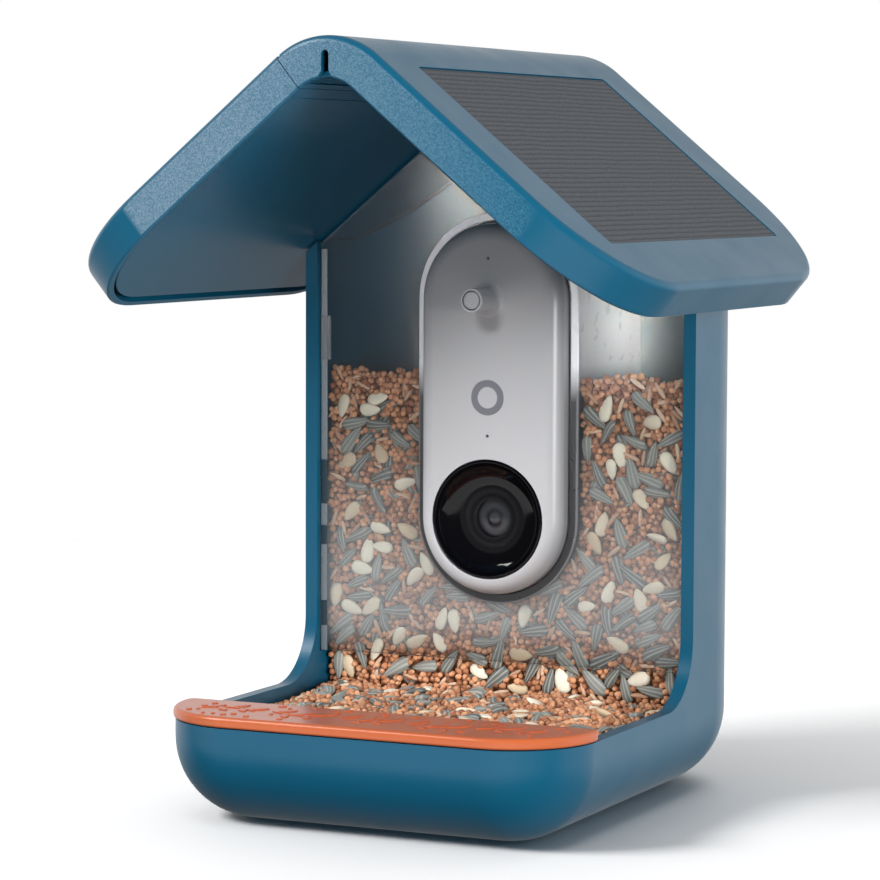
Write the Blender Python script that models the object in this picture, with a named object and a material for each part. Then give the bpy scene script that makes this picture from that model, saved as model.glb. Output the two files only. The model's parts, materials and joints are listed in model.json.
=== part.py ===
"""Smart bird feeder: an open tray and seed hopper under a gabled roof, with a removable camera module.

X runs to the right seen from the front, Y from the front to the back, Z up. Every piece is modelled in the
feeder's own frame, with Y counted from the front of the roof, and an empty moves the whole feeder so that
the centre of its footprint lies on the origin.
"""

import math

import bmesh
import bpy
from mathutils import Vector

MM = 0.001

# Running and seating clearances
clearance = 0.3 * MM
overrun = 5 * MM
merge_distance = 0.003 * MM

# Roof, given by its section and its length along Y
total_height = 228 * MM
roof_depth = 178 * MM
roof_pitch = math.radians(39.7)
ridge_radius = 24.4 * MM
slope_length = 99.2 * MM
roof_thickness = 11.7 * MM
roof_skin = 2.4 * MM
roof_skirt = 2.2 * MM
roof_corner_radius = 38 * MM
roof_top_fillet = 2.2 * MM
roof_low_fillet = 0.5 * MM
roof_seam = 0.3 * MM

# Panels that close the underside of the roof and of the lid
liner_thickness = 1.6 * MM
liner_recess = 0.2 * MM
liner_eave_gap = 2 * MM

# Hanging notch in the front skirt, under the ridge
notch_width = 2.3 * MM
notch_drop = 4.1 * MM
notch_straight = 4.6 * MM
notch_mouth_width = 5.6 * MM
notch_mouth_height = 2.4 * MM

# Solar panel in the right slope
solar_top_margin = 4.2 * MM
solar_length = 76.2 * MM
solar_front_margin = 20.4 * MM
solar_rear_margin = 21.4 * MM
solar_recess = 1.5 * MM
solar_thickness = 1 * MM
solar_corner_radius = 1.2 * MM
solar_lead_hole_radius = 3 * MM

# Lid hinge, just under the outer surface along the seam, with knuckles flattened flush with the roof
hinge_depth = 0.65 * MM
knuckle_radius = 2 * MM
knuckle_sink = 0.1 * MM
pin_radius = 0.5 * MM
pin_fit = 0.2 * MM
end_knuckle_margin = 12 * MM
roof_knuckle_length = 20 * MM
seam_wall = 3.8 * MM
relief_width = 0.9 * MM
relief_side_depth = 0.8 * MM
relief_depth = 1.1 * MM
relief_floor = 0.5 * MM

# Housing: base, tray, side walls and back in one moulding
body_half_width = 66 * MM
wall = 4.1 * MM
tray_front = 13.2 * MM
body_back_inset = 0 * MM
front_corner_radius = 26 * MM
rear_corner_radius = 41 * MM
base_radius = 24.4 * MM
wall_lead = 2.8 * MM
rim_height = 29.6 * MM
sweep_radius = 20 * MM
roof_seat = 0.3 * MM
drain_radius = 1.7 * MM
drain_pitch = 24 * MM
drain_row_setbacks = (50.7 * MM, 24.7 * MM)

# Threaded inserts in the base and in the back
insert_outer_radius = 4.6 * MM
insert_inner_radius = 3.1 * MM
insert_length = 8.6 * MM
boss_wall = 2.6 * MM
boss_cap = 2 * MM
base_insert_inset = 36 * MM
rear_insert_height_share = 0.526

# Tongue of the roof behind the back wall, and its two screws
tongue_thickness = 3 * MM
tongue_left_share = -0.29
tongue_right_share = 0.9
tongue_drop = 42 * MM
roof_screw_shares = (-0.04, 0.66)
roof_screw_drop = 36 * MM
roof_screw_head_radius = 2.9 * MM
roof_screw_head = 1.6 * MM
roof_screw_radius = 1.2 * MM

# Hopper window
hopper_depth = 58.5 * MM
window_thickness = 2 * MM
window_lift = 8.4 * MM
groove_depth = 1.5 * MM
tab_width = 3.4 * MM
tab_thickness = 1 * MM
tab_drop = 36 * MM
tab_height = 14 * MM

# Camera sleeve, a stadium-shaped tube round the camera module
stadium_low_z = 83.4 * MM
stadium_drop = 77 * MM
camera_half_width = 23.8 * MM
camera_fit = 0.4 * MM
sleeve_wall = 1.3 * MM
flange_half_width = 27 * MM
flange_thickness = 0.9 * MM
flange_fillet = 0.4 * MM

# Seed ramp
ramp_lead = 1.5 * MM
ramp_angle = math.radians(40)
ramp_thickness = 2.2 * MM

# Charging access through the back wall
access_half_width = 13 * MM
access_half_height = 10 * MM
access_corner_radius = 5 * MM

# Perch
perch_overhang = 0.6 * MM
perch_depth = 29.2 * MM
perch_thickness = 3.2 * MM
perch_rear_corner_radius = 3 * MM
perch_top_round = 1.4 * MM
perch_low_round = 0.7 * MM
perch_clip_x = 30 * MM
perch_clip_width = 16 * MM
perch_clip_thickness = 1.8 * MM
perch_clip_drop = 6 * MM

# Camera module shells
camera_proud = 8.8 * MM
camera_rim_depth = 13.3 * MM
camera_depth = 49.3 * MM
camera_edge_radius = 5.5 * MM
camera_rear_radius = 3 * MM
camera_wall = 1.8 * MM
camera_face = 2.2 * MM
gasket_thickness = 1 * MM
gasket_inset = 0.3 * MM
gasket_width = 1.6 * MM

# Screws between the two shells
camera_screw_x = 18.3 * MM
camera_screw_shares = (0.245, 0.865)
camera_screw_radius = 1 * MM
camera_screw_head_radius = 2.1 * MM
camera_screw_head = 1.6 * MM
camera_screw_length = 19 * MM
camera_boss_radius = 2.9 * MM
camera_post_radius = 3.4 * MM
camera_seat_wall = 9 * MM

# Lens
dish_radius = 18.3 * MM
dish_fit = 0.3 * MM
dish_depth = 4.2 * MM
dish_flat_radius = 10.2 * MM
dish_step_radius = 8.9 * MM
dish_step = 0.4 * MM
dish_bore_radius = 5.9 * MM
dish_lip = 0.8 * MM
dish_body_depth = 6.9 * MM
glass_thickness = 1.2 * MM
barrel_radius = 6.6 * MM
barrel_bore_radius = 4 * MM
barrel_length = 12 * MM
element_thickness = 3 * MM
element_dome = 1 * MM
sensor_board_side = 24 * MM
sensor_board_thickness = 1.2 * MM

# Electronics
main_board_setback = 22.5 * MM
main_board_thickness = 1.6 * MM
main_board_half_width = 14.4 * MM
standoff_radius = 2 * MM
standoff_x = 8 * MM
standoff_reach = 15.5 * MM
battery_half_width = 14 * MM
battery_thickness = 20 * MM
battery_low_margin = 5.6 * MM
battery_high_margin = 4 * MM
battery_round = 4 * MM
microphone_share = 0.119
microphone_radius = 2 * MM
microphone_thickness = 1.4 * MM
led_rise = 13 * MM
led_half_width = 1.6 * MM
led_thickness = 1.3 * MM
pinhole_radius = 0.5 * MM

# Power button in the end of its boss
button_rise = 0.4 * MM
button_boss_radius = 3.7 * MM
button_boss_reach = 12.4 * MM
button_boss_edge = 0.4 * MM
button_flare = 2.4 * MM
button_flare_sink = 0.05 * MM
button_bore_radius = 3 * MM
button_radius = 2.7 * MM
button_travel = 0.8 * MM
button_collar_radius = 3.95 * MM
button_collar = 1.2 * MM
button_stem_radius = 1.6 * MM
switch_half_width = 3 * MM
switch_thickness = 2.6 * MM

# Charging port and its flap
port_drop = 7.4 * MM
port_half_width = 4.5 * MM
port_half_height = 1.6 * MM
port_depth = 7.4 * MM
port_shell = 0.4 * MM
port_tongue_half_height = 0.35 * MM
port_tongue_half_width = 3.3 * MM
flap_half_width = 7.5 * MM
flap_half_height = 3.6 * MM
flap_thickness = 1.4 * MM
flap_hinge_radius = 1 * MM
lug_width = 1.6 * MM
lug_half_height = 1.5 * MM

# Smoothness
corner_steps = 6
fillet_steps = 4
ridge_steps = 12
round_steps = 24
small_round_steps = 16
stadium_steps = 12

# Places that follow from the sizes above
ridge_centre_z = total_height - ridge_radius
ridge_arc = ridge_radius * roof_pitch
eave = ridge_arc + slope_length
body_back = roof_depth - body_back_inset
window_front = body_back - hopper_depth
wall_front = window_front - wall_lead
window_bottom = rim_height + window_lift
stadium_high_z = total_height - stadium_drop
liner_low = roof_thickness - liner_recess
seat_level = roof_thickness + roof_seat
window_back = window_front + window_thickness
inner_half_width = body_half_width - wall
inner_back = body_back - wall
sleeve_inner = camera_half_width + camera_fit
sleeve_outer = sleeve_inner + sleeve_wall
flange_front = window_front - clearance - flange_thickness
sleeve_back = inner_back - clearance
hinge_x = -(ridge_radius - hinge_depth) * math.sin(roof_pitch)
hinge_z = ridge_centre_z + (ridge_radius - hinge_depth) * math.cos(roof_pitch)
perch_low_z = rim_height + clearance
perch_rear = tray_front + perch_depth
base_insert_y = body_back - base_insert_inset
rear_insert_z = rear_insert_height_share * total_height
tongue_low_z = total_height - tongue_drop
tongue_left = tongue_left_share * ridge_radius
tongue_right = tongue_right_share * ridge_radius
roof_screw_x = [share * ridge_radius for share in roof_screw_shares]
roof_screw_z = total_height - roof_screw_drop
ramp_front = window_front - ramp_lead
camera_front_y = window_front - camera_proud
camera_parting_y = camera_front_y + camera_rim_depth
camera_rear_y = camera_front_y + camera_depth
camera_inner_face_y = camera_front_y + camera_face
dish_back_y = camera_front_y + dish_body_depth
main_board_y = camera_front_y + main_board_setback
button_z = stadium_high_z + button_rise
led_z = stadium_high_z + led_rise
port_z = stadium_low_z - port_drop
microphone_low = stadium_low_z + dish_radius + dish_fit + microphone_radius + clearance
microphone_high = button_z - button_collar_radius - microphone_radius - clearance
microphone_z = microphone_low + microphone_share * (microphone_high - microphone_low)
gasket_y = camera_parting_y + clearance
rear_shell_front_y = gasket_y + gasket_thickness + clearance
camera_rear_inner_y = camera_rear_y - camera_wall
boss_tip_y = camera_front_y - button_boss_reach
flap_y = camera_rear_y + clearance
flap_hinge_z = port_z + flap_half_height + flap_hinge_radius
flap_hinge_y = flap_y + flap_thickness / 2


def clear_scene():
    """Remove what a new file starts with."""
    for item in list(bpy.data.objects):
        bpy.data.objects.remove(item)


def plastic(name, colour, roughness, metallic=0.0, alpha=1.0):
    """A Principled material in one colour."""
    material = bpy.data.materials.new(name)
    material.use_nodes = True
    shader = material.node_tree.nodes["Principled BSDF"]
    shader.inputs["Base Color"].default_value = (*colour, 1.0)
    shader.inputs["Roughness"].default_value = roughness
    shader.inputs["Metallic"].default_value = metallic
    shader.inputs["Alpha"].default_value = alpha
    material.diffuse_color = (*colour, alpha)
    return material


def finish_mesh(name, bm, material, carrier):
    """Turn a bmesh into an object that hangs on the carrier but keeps the feeder's own frame."""
    bmesh.ops.recalc_face_normals(bm, faces=bm.faces)
    if bm.calc_volume(signed=True) < 0:
        bmesh.ops.reverse_faces(bm, faces=bm.faces)
    mesh = bpy.data.meshes.new(name)
    bm.to_mesh(mesh)
    bm.free()
    item = bpy.data.objects.new(name, mesh)
    bpy.context.scene.collection.objects.link(item)
    item.parent = carrier
    item.location = -frame_place[carrier.name]
    if material:
        mesh.materials.append(material)
        mesh.shade_smooth()
        mesh.set_sharp_from_angle(angle=smooth_angle)
    return item


def boolean(target, cutter, operation):
    """Cut, join or intersect the target with a hidden helper that rides on the same carrier."""
    cutter.hide_render = True
    cutter.display_type = "WIRE"
    cutter.parent = target.parent
    cutter.location = target.location
    modifier = target.modifiers.new(cutter.name, "BOOLEAN")
    modifier.operation = operation
    modifier.solver = "EXACT"
    modifier.object = cutter


def cut(target, *cutters):
    for cutter in cutters:
        boolean(target, cutter, "DIFFERENCE")


def join(target, *helpers):
    for helper in helpers:
        boolean(target, helper, "UNION")


def arc_points(centre, radius, start, end, steps):
    """Points of an arc from one angle to the other, both ends included."""
    points = []
    for step in range(steps + 1):
        angle = start + (end - start) * step / steps
        points.append((centre[0] + radius * math.cos(angle), centre[1] + radius * math.sin(angle)))
    return points


def loft(bm, loops, ring=False):
    """Bridge loops of equal length, and cap the two ends unless the loops close on themselves."""
    rings = [[bm.verts.new(point) for point in loop] for loop in loops]
    pairs = list(zip(rings, rings[1:]))
    if ring:
        pairs.append((rings[-1], rings[0]))
    for low, high in pairs:
        for index in range(len(low)):
            after = (index + 1) % len(low)
            bm.faces.new((low[index], low[after], high[after], high[index]))
    if not ring:
        bm.faces.new(rings[0])
        bm.faces.new(rings[-1])
    return rings


def lofted(name, loops, carrier, material=None, ring=False):
    bm = bmesh.new()
    loft(bm, loops, ring)
    return finish_mesh(name, bm, material, carrier)


def box(name, low, high, carrier, material=None):
    """A block between two opposite corners."""
    bm = bmesh.new()
    bmesh.ops.create_cube(bm, size=1.0)
    low, high = Vector(low), Vector(high)
    size, centre = high - low, (high + low) / 2
    for vert in bm.verts:
        vert.co = Vector([centre[i] + vert.co[i] * size[i] for i in range(3)])
    return finish_mesh(name, bm, material, carrier)


def prism(name, outline, axis, start, end, carrier, material=None):
    """Extrude an outline along X, Y or Z. The outline lists the other two coordinates in their order."""
    def at(point, level):
        values = list(point)
        values.insert("XYZ".index(axis), level)
        return values

    loops = [[at(point, level) for point in outline] for level in (start, end)]
    return lofted(name, loops, carrier, material)


def turned(name, profile, axis, centre, carrier, material=None, steps=round_steps, ring=False):
    """Turn a profile of (radius, place along the axis). The centre lists the other two coordinates.

    The first point is half a step round, so that no corner lies on a plane through the centre.
    """
    start = math.pi / steps
    loops = []
    for radius, level in profile:
        loop = []
        for a, b in arc_points(centre, radius, start, start + 2 * math.pi, steps)[:-1]:
            values = [a, b]
            values.insert("XYZ".index(axis), level)
            loop.append(values)
        loops.append(loop)
    return lofted(name, loops, carrier, material, ring)


def rod(name, radius, axis, centre, start, end, carrier, material=None, steps=small_round_steps):
    return turned(name, [(radius, start), (radius, end)], axis, centre, carrier, material, steps)


def plan_loop(inset, z, half_width, front, back, front_radius, rear_radius):
    """Rounded rectangle seen from above, drawn in by the inset."""
    least = clearance
    loop = []
    corners = (
        (1, front + inset, 1, front_radius, -math.pi / 2),
        (1, back - inset, -1, rear_radius, 0),
        (-1, back - inset, -1, rear_radius, math.pi / 2),
        (-1, front + inset, 1, front_radius, math.pi),
    )
    for side, edge, inward, radius, start in corners:
        radius = max(radius - inset, least)
        centre = (side * (half_width - inset - radius), edge + inward * radius)
        points = arc_points(centre, radius, start, start + math.pi / 2, corner_steps)
        loop += [(x, y, z) for x, y in points]
    return loop


def tub(name, offset, top, carrier, material=None):
    """The housing's outer form, or its hollow when offset by the wall, rounded along the base."""
    size = (body_half_width - offset, tray_front + offset, body_back - offset,
            front_corner_radius - offset, rear_corner_radius - offset)
    radius = base_radius - offset
    loops = []
    for step in range(corner_steps + 1):
        angle = math.pi / 2 * step / corner_steps
        inset = radius * (1 - math.sin(angle))
        loops.append(plan_loop(inset, offset + radius * (1 - math.cos(angle)), *size))
    loops.append(plan_loop(0, top, *size))
    return lofted(name, loops, carrier, material)


def stadium_loop(half_width, y, steps=stadium_steps):
    """Upright slot shape round the camera's two arc centres, in a plane of constant Y."""
    points = arc_points((0, stadium_high_z), half_width, 0, math.pi, steps)
    points += arc_points((0, stadium_low_z), half_width, math.pi, 2 * math.pi, steps)
    return [(x, y, z) for x, z in points]


def stadium(name, levels, carrier, material=None, ring=False):
    """Loft stadium loops given as (half width, y)."""
    loops = [stadium_loop(half_width, y) for half_width, y in levels]
    return lofted(name, loops, carrier, material, ring)


def roof_point(u, v, w):
    """Map a flat roof sheet onto the roof: u runs over the ridge, v along Y, w inward from the outside."""
    side = math.copysign(1, u)
    reach = abs(u)
    angle = min(reach / ridge_radius, roof_pitch)
    beyond = max(reach - ridge_arc, 0)
    x = (ridge_radius - w) * math.sin(angle) + beyond * math.cos(roof_pitch)
    z = ridge_centre_z + (ridge_radius - w) * math.cos(angle) - beyond * math.sin(roof_pitch)
    return Vector((side * x, v, z))


def roof_plan(near, far, front, back, radius, side):
    """Outline on the flat sheet, square at the near end and with round corners at the eave."""
    points = [(near, front)]
    points += arc_points((far - radius, front + radius), radius, -math.pi / 2, 0, corner_steps)
    points += arc_points((far - radius, back - radius), radius, 0, math.pi / 2, corner_steps)
    points.append((near, back))
    return [(side * u, v) for u, v in points]


def roof_sheet(name, levels, side, carrier, material=None, shift=0.0):
    """Loft roof outlines given as (near, far, front, back, corner radius, w), then bend them over the ridge.

    The shift moves the bend lines by a share of a step, so that a cutter's lines miss those of its target.
    """
    bm = bmesh.new()
    loops = []
    for near, far, front, back, radius, w in levels:
        plan = roof_plan(near, far, front, back, radius, side)
        loops.append([(u, v, w) for u, v in plan])
    loft(bm, loops)
    for step in range(-ridge_steps // 2, ridge_steps // 2 + 1):
        place = ridge_arc * 2 * (step + shift) / ridge_steps
        whole = bm.verts[:] + bm.edges[:] + bm.faces[:]
        line = (place, 0, 0)
        bmesh.ops.bisect_plane(bm, geom=whole, plane_co=line, plane_no=(1, 0, 0), dist=merge_distance)
    for vert in bm.verts:
        vert.co = roof_point(*vert.co)
    return finish_mesh(name, bm, material, carrier)


def roof_skin_levels(near):
    """Levels of the outer roof form: a fillet along the top edge and a small one along the lower edge."""
    levels = []
    for step in range(fillet_steps + 1):
        angle = math.pi / 2 * step / fillet_steps
        inset = roof_top_fillet * (1 - math.sin(angle))
        levels.append((inset, roof_top_fillet * (1 - math.cos(angle))))
    levels.append((0, roof_thickness - roof_low_fillet))
    levels.append((roof_low_fillet, roof_thickness))
    radius = roof_corner_radius
    return [(near, eave - inset, inset, roof_depth - inset, radius - inset, w) for inset, w in levels]


def roof_inner_levels(near, margin, eave_margin, start, end):
    """Two levels of a hollow or a panel inside the skirt."""
    radius = roof_corner_radius - eave_margin
    return [(near, eave - eave_margin, margin, roof_depth - margin, radius, w) for w in (start, end)]


def underside_outline(level, reach):
    """Outline across the roof, in X and Z, of everything above a level under the outer surface."""
    steps = ridge_steps
    points = [roof_point(-eave - reach, 0, level)]
    points += [roof_point(ridge_arc * (2 * step / steps - 1), 0, level) for step in range(steps + 1)]
    points.append(roof_point(eave + reach, 0, level))
    outline = [(point.x, point.z) for point in points]
    top = total_height + reach
    return outline + [(outline[-1][0], top), (outline[0][0], top)]


def knuckle_spans():
    """Places along Y of the roof's three knuckles, and of the lid's two between them."""
    length = roof_knuckle_length
    first = end_knuckle_margin
    middle = (roof_depth - length) / 2
    last = roof_depth - end_knuckle_margin - length
    roof = [(start, start + length) for start in (first, middle, last)]
    lid = [(low[1] + clearance, high[0] - clearance) for low, high in zip(roof, roof[1:])]
    return roof, lid


def hinge_rods(prefix, spans, radius, grow, carrier):
    """Rods on the hinge axis, one for each span, lengthened at both ends."""
    axis = (hinge_x, hinge_z)
    rods = []
    for number, (start, end) in enumerate(spans, 1):
        rods.append(rod(f"{prefix}_{number}", radius, "Y", axis, start - grow, end + grow, carrier))
    return rods


def hinge_point(along, above):
    """Place in X and Z, measured from the hinge axis up the left slope and outward from it."""
    x = hinge_x + along * math.cos(roof_pitch) - above * math.sin(roof_pitch)
    z = hinge_z + along * math.sin(roof_pitch) + above * math.cos(roof_pitch)
    return x, z


def knuckles(prefix, spans, carrier):
    """Round knuckles on the hinge axis, cut flat just under the outer surface."""
    level = hinge_depth - knuckle_sink
    start = math.asin(level / knuckle_radius)
    outline = arc_points((0, 0), knuckle_radius, math.pi - start, 2 * math.pi + start, small_round_steps)
    outline = [hinge_point(*point) for point in outline]
    made = []
    for number, (near, far) in enumerate(spans, 1):
        made.append(prism(f"{prefix}_{number}", outline, "Y", near, far, carrier))
    return made


def hinge_relief(carrier):
    """Room beside the seam for the lid's upper edge as it turns."""
    side, floor = hinge_depth - relief_side_depth, hinge_depth - relief_depth
    outline = [(-overrun, overrun), (relief_width, overrun), (relief_width, side), (relief_floor, floor),
               (-overrun, floor)]
    outline = [hinge_point(*point) for point in outline]
    return prism("hinge_relief", outline, "Y", -overrun, roof_depth + overrun, carrier)


def make_roof(carrier, lid_carrier, blue, navy, steel):
    """Roof shell and lid shell with their hinge, and the panels under them."""
    roof_near = -ridge_arc + roof_seam / 2
    lid_near = ridge_arc + roof_seam / 2
    bottom = roof_thickness + overrun
    shell = roof_sheet("roof_shell", roof_skin_levels(roof_near), 1, carrier, blue)
    hollow = roof_inner_levels(roof_near + seam_wall, roof_skirt, roof_skirt, roof_skin, bottom)
    cut(shell, roof_sheet("roof_hollow", hollow, 1, carrier, shift=0.5))
    lid = roof_sheet("lid_shell", roof_skin_levels(lid_near), -1, lid_carrier, blue)
    hollow = roof_inner_levels(lid_near + seam_wall, roof_skirt, roof_skirt, roof_skin, bottom)
    cut(lid, roof_sheet("lid_hollow", hollow, -1, lid_carrier))

    margin = roof_skirt + clearance
    eave_margin = roof_skirt + liner_eave_gap
    top = liner_low - liner_thickness
    panel = roof_inner_levels(roof_near + seam_wall + clearance, margin, eave_margin, top, liner_low)
    liner = roof_sheet("roof_liner", panel, 1, carrier, navy)
    panel = roof_inner_levels(lid_near + seam_wall + clearance, margin, eave_margin, top, liner_low)
    roof_sheet("lid_liner", panel, -1, lid_carrier, navy)

    roof_spans, lid_spans = knuckle_spans()
    gap = knuckle_radius + clearance
    pin_span = [(roof_spans[0][0], roof_spans[-1][1])]
    cut(shell, hinge_relief(carrier))
    cut(shell, *hinge_rods("roof_knuckle_gap", lid_spans, gap, clearance, carrier))
    cut(lid, *hinge_rods("lid_knuckle_gap", roof_spans, gap, clearance, lid_carrier))
    join(shell, *knuckles("roof_knuckle", roof_spans, carrier))
    join(lid, *knuckles("lid_knuckle", lid_spans, lid_carrier))
    bore = pin_radius + pin_fit
    cut(shell, *hinge_rods("roof_pin_bore", pin_span, bore, clearance, carrier))
    cut(lid, *hinge_rods("lid_pin_bore", pin_span, bore, clearance, lid_carrier))
    start, end = pin_span[0]
    rod("lid_hinge_pin", pin_radius, "Y", (hinge_x, hinge_z), start, end, carrier, steel)

    cut_notch(shell, carrier)
    add_tongue(shell, liner, carrier)
    return shell


def cut_notch(shell, carrier):
    """Hanging notch: a slot with a round top that flares at the underside."""
    half = notch_width / 2
    top = total_height - notch_drop - half
    low = top - notch_straight
    mouth = low - notch_mouth_height
    bottom = mouth - overrun
    wide = notch_mouth_width / 2
    outline = arc_points((0, top), half, 0, math.pi, corner_steps)
    outline += [(-half, low), (-wide, mouth), (-wide, bottom), (wide, bottom), (wide, mouth), (half, low)]
    cut(shell, prism("hanging_notch", outline, "Y", -overrun, roof_skirt + clearance, carrier))


def add_tongue(shell, liner, carrier):
    """Tongue that reaches down inside the back wall, a gap for it in the liner, and its screw holes."""
    back = inner_back - clearance
    front = back - tongue_thickness
    skin_middle = roof_skin / 2
    reach = ridge_arc + (tongue_right - roof_point(ridge_arc, 0, skin_middle).x) / math.cos(roof_pitch)
    left = math.asin(tongue_left / (ridge_radius - skin_middle)) * ridge_radius
    outline = [(tongue_left, tongue_low_z)]
    for step in range(ridge_steps + 1):
        crown = roof_point(left + (reach - left) * step / ridge_steps, 0, skin_middle)
        outline.append((crown.x, crown.z))
    outline.append((tongue_right, tongue_low_z))
    join(shell, prism("roof_tongue", outline, "Y", front, back, carrier))
    low = (tongue_left - clearance, front - clearance, tongue_low_z)
    high = (tongue_right + clearance, roof_depth + overrun, total_height)
    cut(liner, box("tongue_gap", low, high, carrier))
    radius = roof_screw_radius + clearance
    for number, x in enumerate(roof_screw_x, 1):
        centre = (x, roof_screw_z)
        cut(shell, rod(f"tongue_hole_{number}", radius, "Y", centre,
                       front - overrun, back + overrun, carrier))


def make_solar_panel(shell, carrier, cell):
    """Recess in the right slope with the cell panel in it."""
    near = ridge_arc + solar_top_margin
    far = near + solar_length
    front = solar_front_margin
    back = roof_depth - solar_rear_margin

    def slab(name, shrink, start, end, material=None):
        loops = []
        for w in (start, end):
            low, high = near + shrink, far - shrink
            radius = solar_corner_radius
            points = []
            for u, v, turn in ((high, front + shrink, -math.pi / 2), (high, back - shrink, 0),
                               (low, back - shrink, math.pi / 2), (low, front + shrink, math.pi)):
                inward_u = -radius if u == high else radius
                inward_v = radius if v == front + shrink else -radius
                centre = (u + inward_u, v + inward_v)
                points += arc_points(centre, radius, turn, turn + math.pi / 2, fillet_steps)
            loops.append([roof_point(u, v, w) for u, v in points])
        return lofted(name, loops, carrier, material)

    cut(shell, slab("solar_recess", 0, -overrun, solar_recess))
    floor = solar_recess - clearance
    slab("solar_panel", clearance, floor - solar_thickness, floor, cell)
    middle = roof_point((near + far) / 2, (front + back) / 2, roof_skin)
    cut(shell, rod("solar_lead_hole", solar_lead_hole_radius, "Z", (middle.x, middle.y),
                   middle.z - overrun, middle.z + overrun, carrier))


def make_housing(carrier, blue, brass):
    """Base, tray, walls and back, open above the tray and closed by the roof."""
    top = total_height + overrun
    housing = tub("housing", 0, top, carrier, blue)
    base_boss = rod("base_boss", insert_outer_radius + boss_wall, "Z", (0, base_insert_y),
                    wall / 2, insert_length + boss_cap, carrier)
    rear_boss = rod("rear_boss", insert_outer_radius + boss_wall, "Y", (0, rear_insert_z),
                    body_back - insert_length - boss_cap, body_back - wall / 2, carrier)
    cut(housing, tub("housing_hollow", wall, top + overrun, carrier))

    centre = (wall_front - sweep_radius, rim_height + sweep_radius)
    profile = [(-overrun, rim_height)]
    profile += arc_points(centre, sweep_radius, -math.pi / 2, 0, corner_steps)
    profile += [(wall_front, top + overrun), (-overrun, top + overrun)]
    reach = body_half_width + overrun
    cut(housing, prism("front_opening", profile, "X", -reach, reach, carrier))
    under_roof = underside_outline(seat_level, overrun)
    cut(housing, prism("roof_clearance", under_roof, "Y", -overrun, roof_depth + overrun, carrier))
    join(housing, base_boss, rear_boss)

    bore = insert_outer_radius + clearance
    depth = insert_length + clearance
    behind = body_back + overrun
    cut(housing, rod("base_insert_bore", bore, "Z", (0, base_insert_y), -overrun, depth, carrier))
    cut(housing, rod("rear_insert_bore", bore, "Y", (0, rear_insert_z), body_back - depth, behind, carrier))
    for side in (-1, 1):
        inner = side * (inner_half_width - overrun)
        outer = side * (inner_half_width + groove_depth)
        low = (min(inner, outer), window_front - clearance, window_bottom - clearance)
        high = (max(inner, outer), window_back + clearance, top)
        cut(housing, box("groove_left" if side < 0 else "groove_right", low, high, carrier))
    for row, setback in enumerate(drain_row_setbacks, 1):
        for column in (-1, 0, 1):
            name = f"drain_{row}_{column + 2}"
            centre = (column * drain_pitch, wall_front - setback)
            cut(housing, rod(name, drain_radius, "Z", centre, -overrun, wall + overrun, carrier))
    for number, x in enumerate(roof_screw_x, 1):
        centre = (x, roof_screw_z)
        sink = body_back - roof_screw_head - clearance
        cut(housing, rod(f"wall_hole_{number}", roof_screw_radius + clearance, "Y", centre,
                         inner_back - overrun, behind, carrier))
        cut(housing, rod(f"wall_sink_{number}", roof_screw_head_radius + clearance, "Y", centre,
                         sink, behind, carrier))
    cut(housing, prism("charging_access", access_outline(), "Y", inner_back - overrun, behind, carrier))

    tube = [(insert_inner_radius, 0), (insert_outer_radius, 0), (insert_outer_radius, insert_length),
            (insert_inner_radius, insert_length)]
    turned("base_insert", tube, "Z", (0, base_insert_y), carrier, brass, small_round_steps, ring=True)
    tube = [(radius, body_back - level) for radius, level in tube]
    turned("rear_insert", tube, "Y", (0, rear_insert_z), carrier, brass, small_round_steps, ring=True)
    return housing


def access_outline():
    """Rounded opening behind the camera, in X and Z."""
    radius = access_corner_radius
    low, high = port_z - access_half_height + radius, port_z + access_half_height - radius
    side = access_half_width - radius
    outline = []
    for turn, centre in enumerate(((side, high), (-side, high), (-side, low), (side, low))):
        start = turn * math.pi / 2
        outline += arc_points(centre, radius, start, start + math.pi / 2, fillet_steps)
    return outline


def make_roof_screws(carrier, steel):
    """Two screws from behind, through the back wall into the tongue."""
    tip = inner_back - clearance - tongue_thickness
    seat = body_back - roof_screw_head
    for number, x in enumerate(roof_screw_x, 1):
        profile = [(roof_screw_radius, tip), (roof_screw_radius, seat), (roof_screw_head_radius, seat),
                   (roof_screw_head_radius, body_back - clearance)]
        turned(f"roof_screw_{number}", profile, "Y", (x, roof_screw_z), carrier, steel, small_round_steps)


def make_window(carrier, clear):
    """Clear front of the hopper, held in the grooves of the walls, with the camera's opening."""
    level = seat_level + clearance
    half = inner_half_width + groove_depth - clearance
    top = [point for point in underside_outline(level, 0)[:-2] if abs(point[0]) < half]
    side_z = roof_height_at(half, level)
    outline = [(-half, window_bottom), (-half, side_z)] + top + [(half, side_z), (half, window_bottom)]
    window = prism("hopper_window", outline, "Y", window_front, window_back, carrier, clear)
    hole = sleeve_outer + clearance
    levels = [(hole, window_front - overrun), (hole, window_back + overrun)]
    cut(window, stadium("window_opening", levels, carrier))
    edge = inner_half_width - clearance
    tab_low = side_z - tab_drop
    for side, name in ((-1, "tab_left"), (1, "tab_right")):
        ends = sorted((side * edge, side * (edge - tab_width)))
        low = (ends[0], window_front - tab_thickness, tab_low)
        high = (ends[1], window_front + window_thickness / 2, tab_low + tab_height)
        join(window, box(name, low, high, carrier))


def roof_height_at(x, level):
    """Height of a level of the roof over the straight part of a slope."""
    start = roof_point(ridge_arc, 0, level)
    return start.z - (abs(x) - start.x) * math.tan(roof_pitch)


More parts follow.
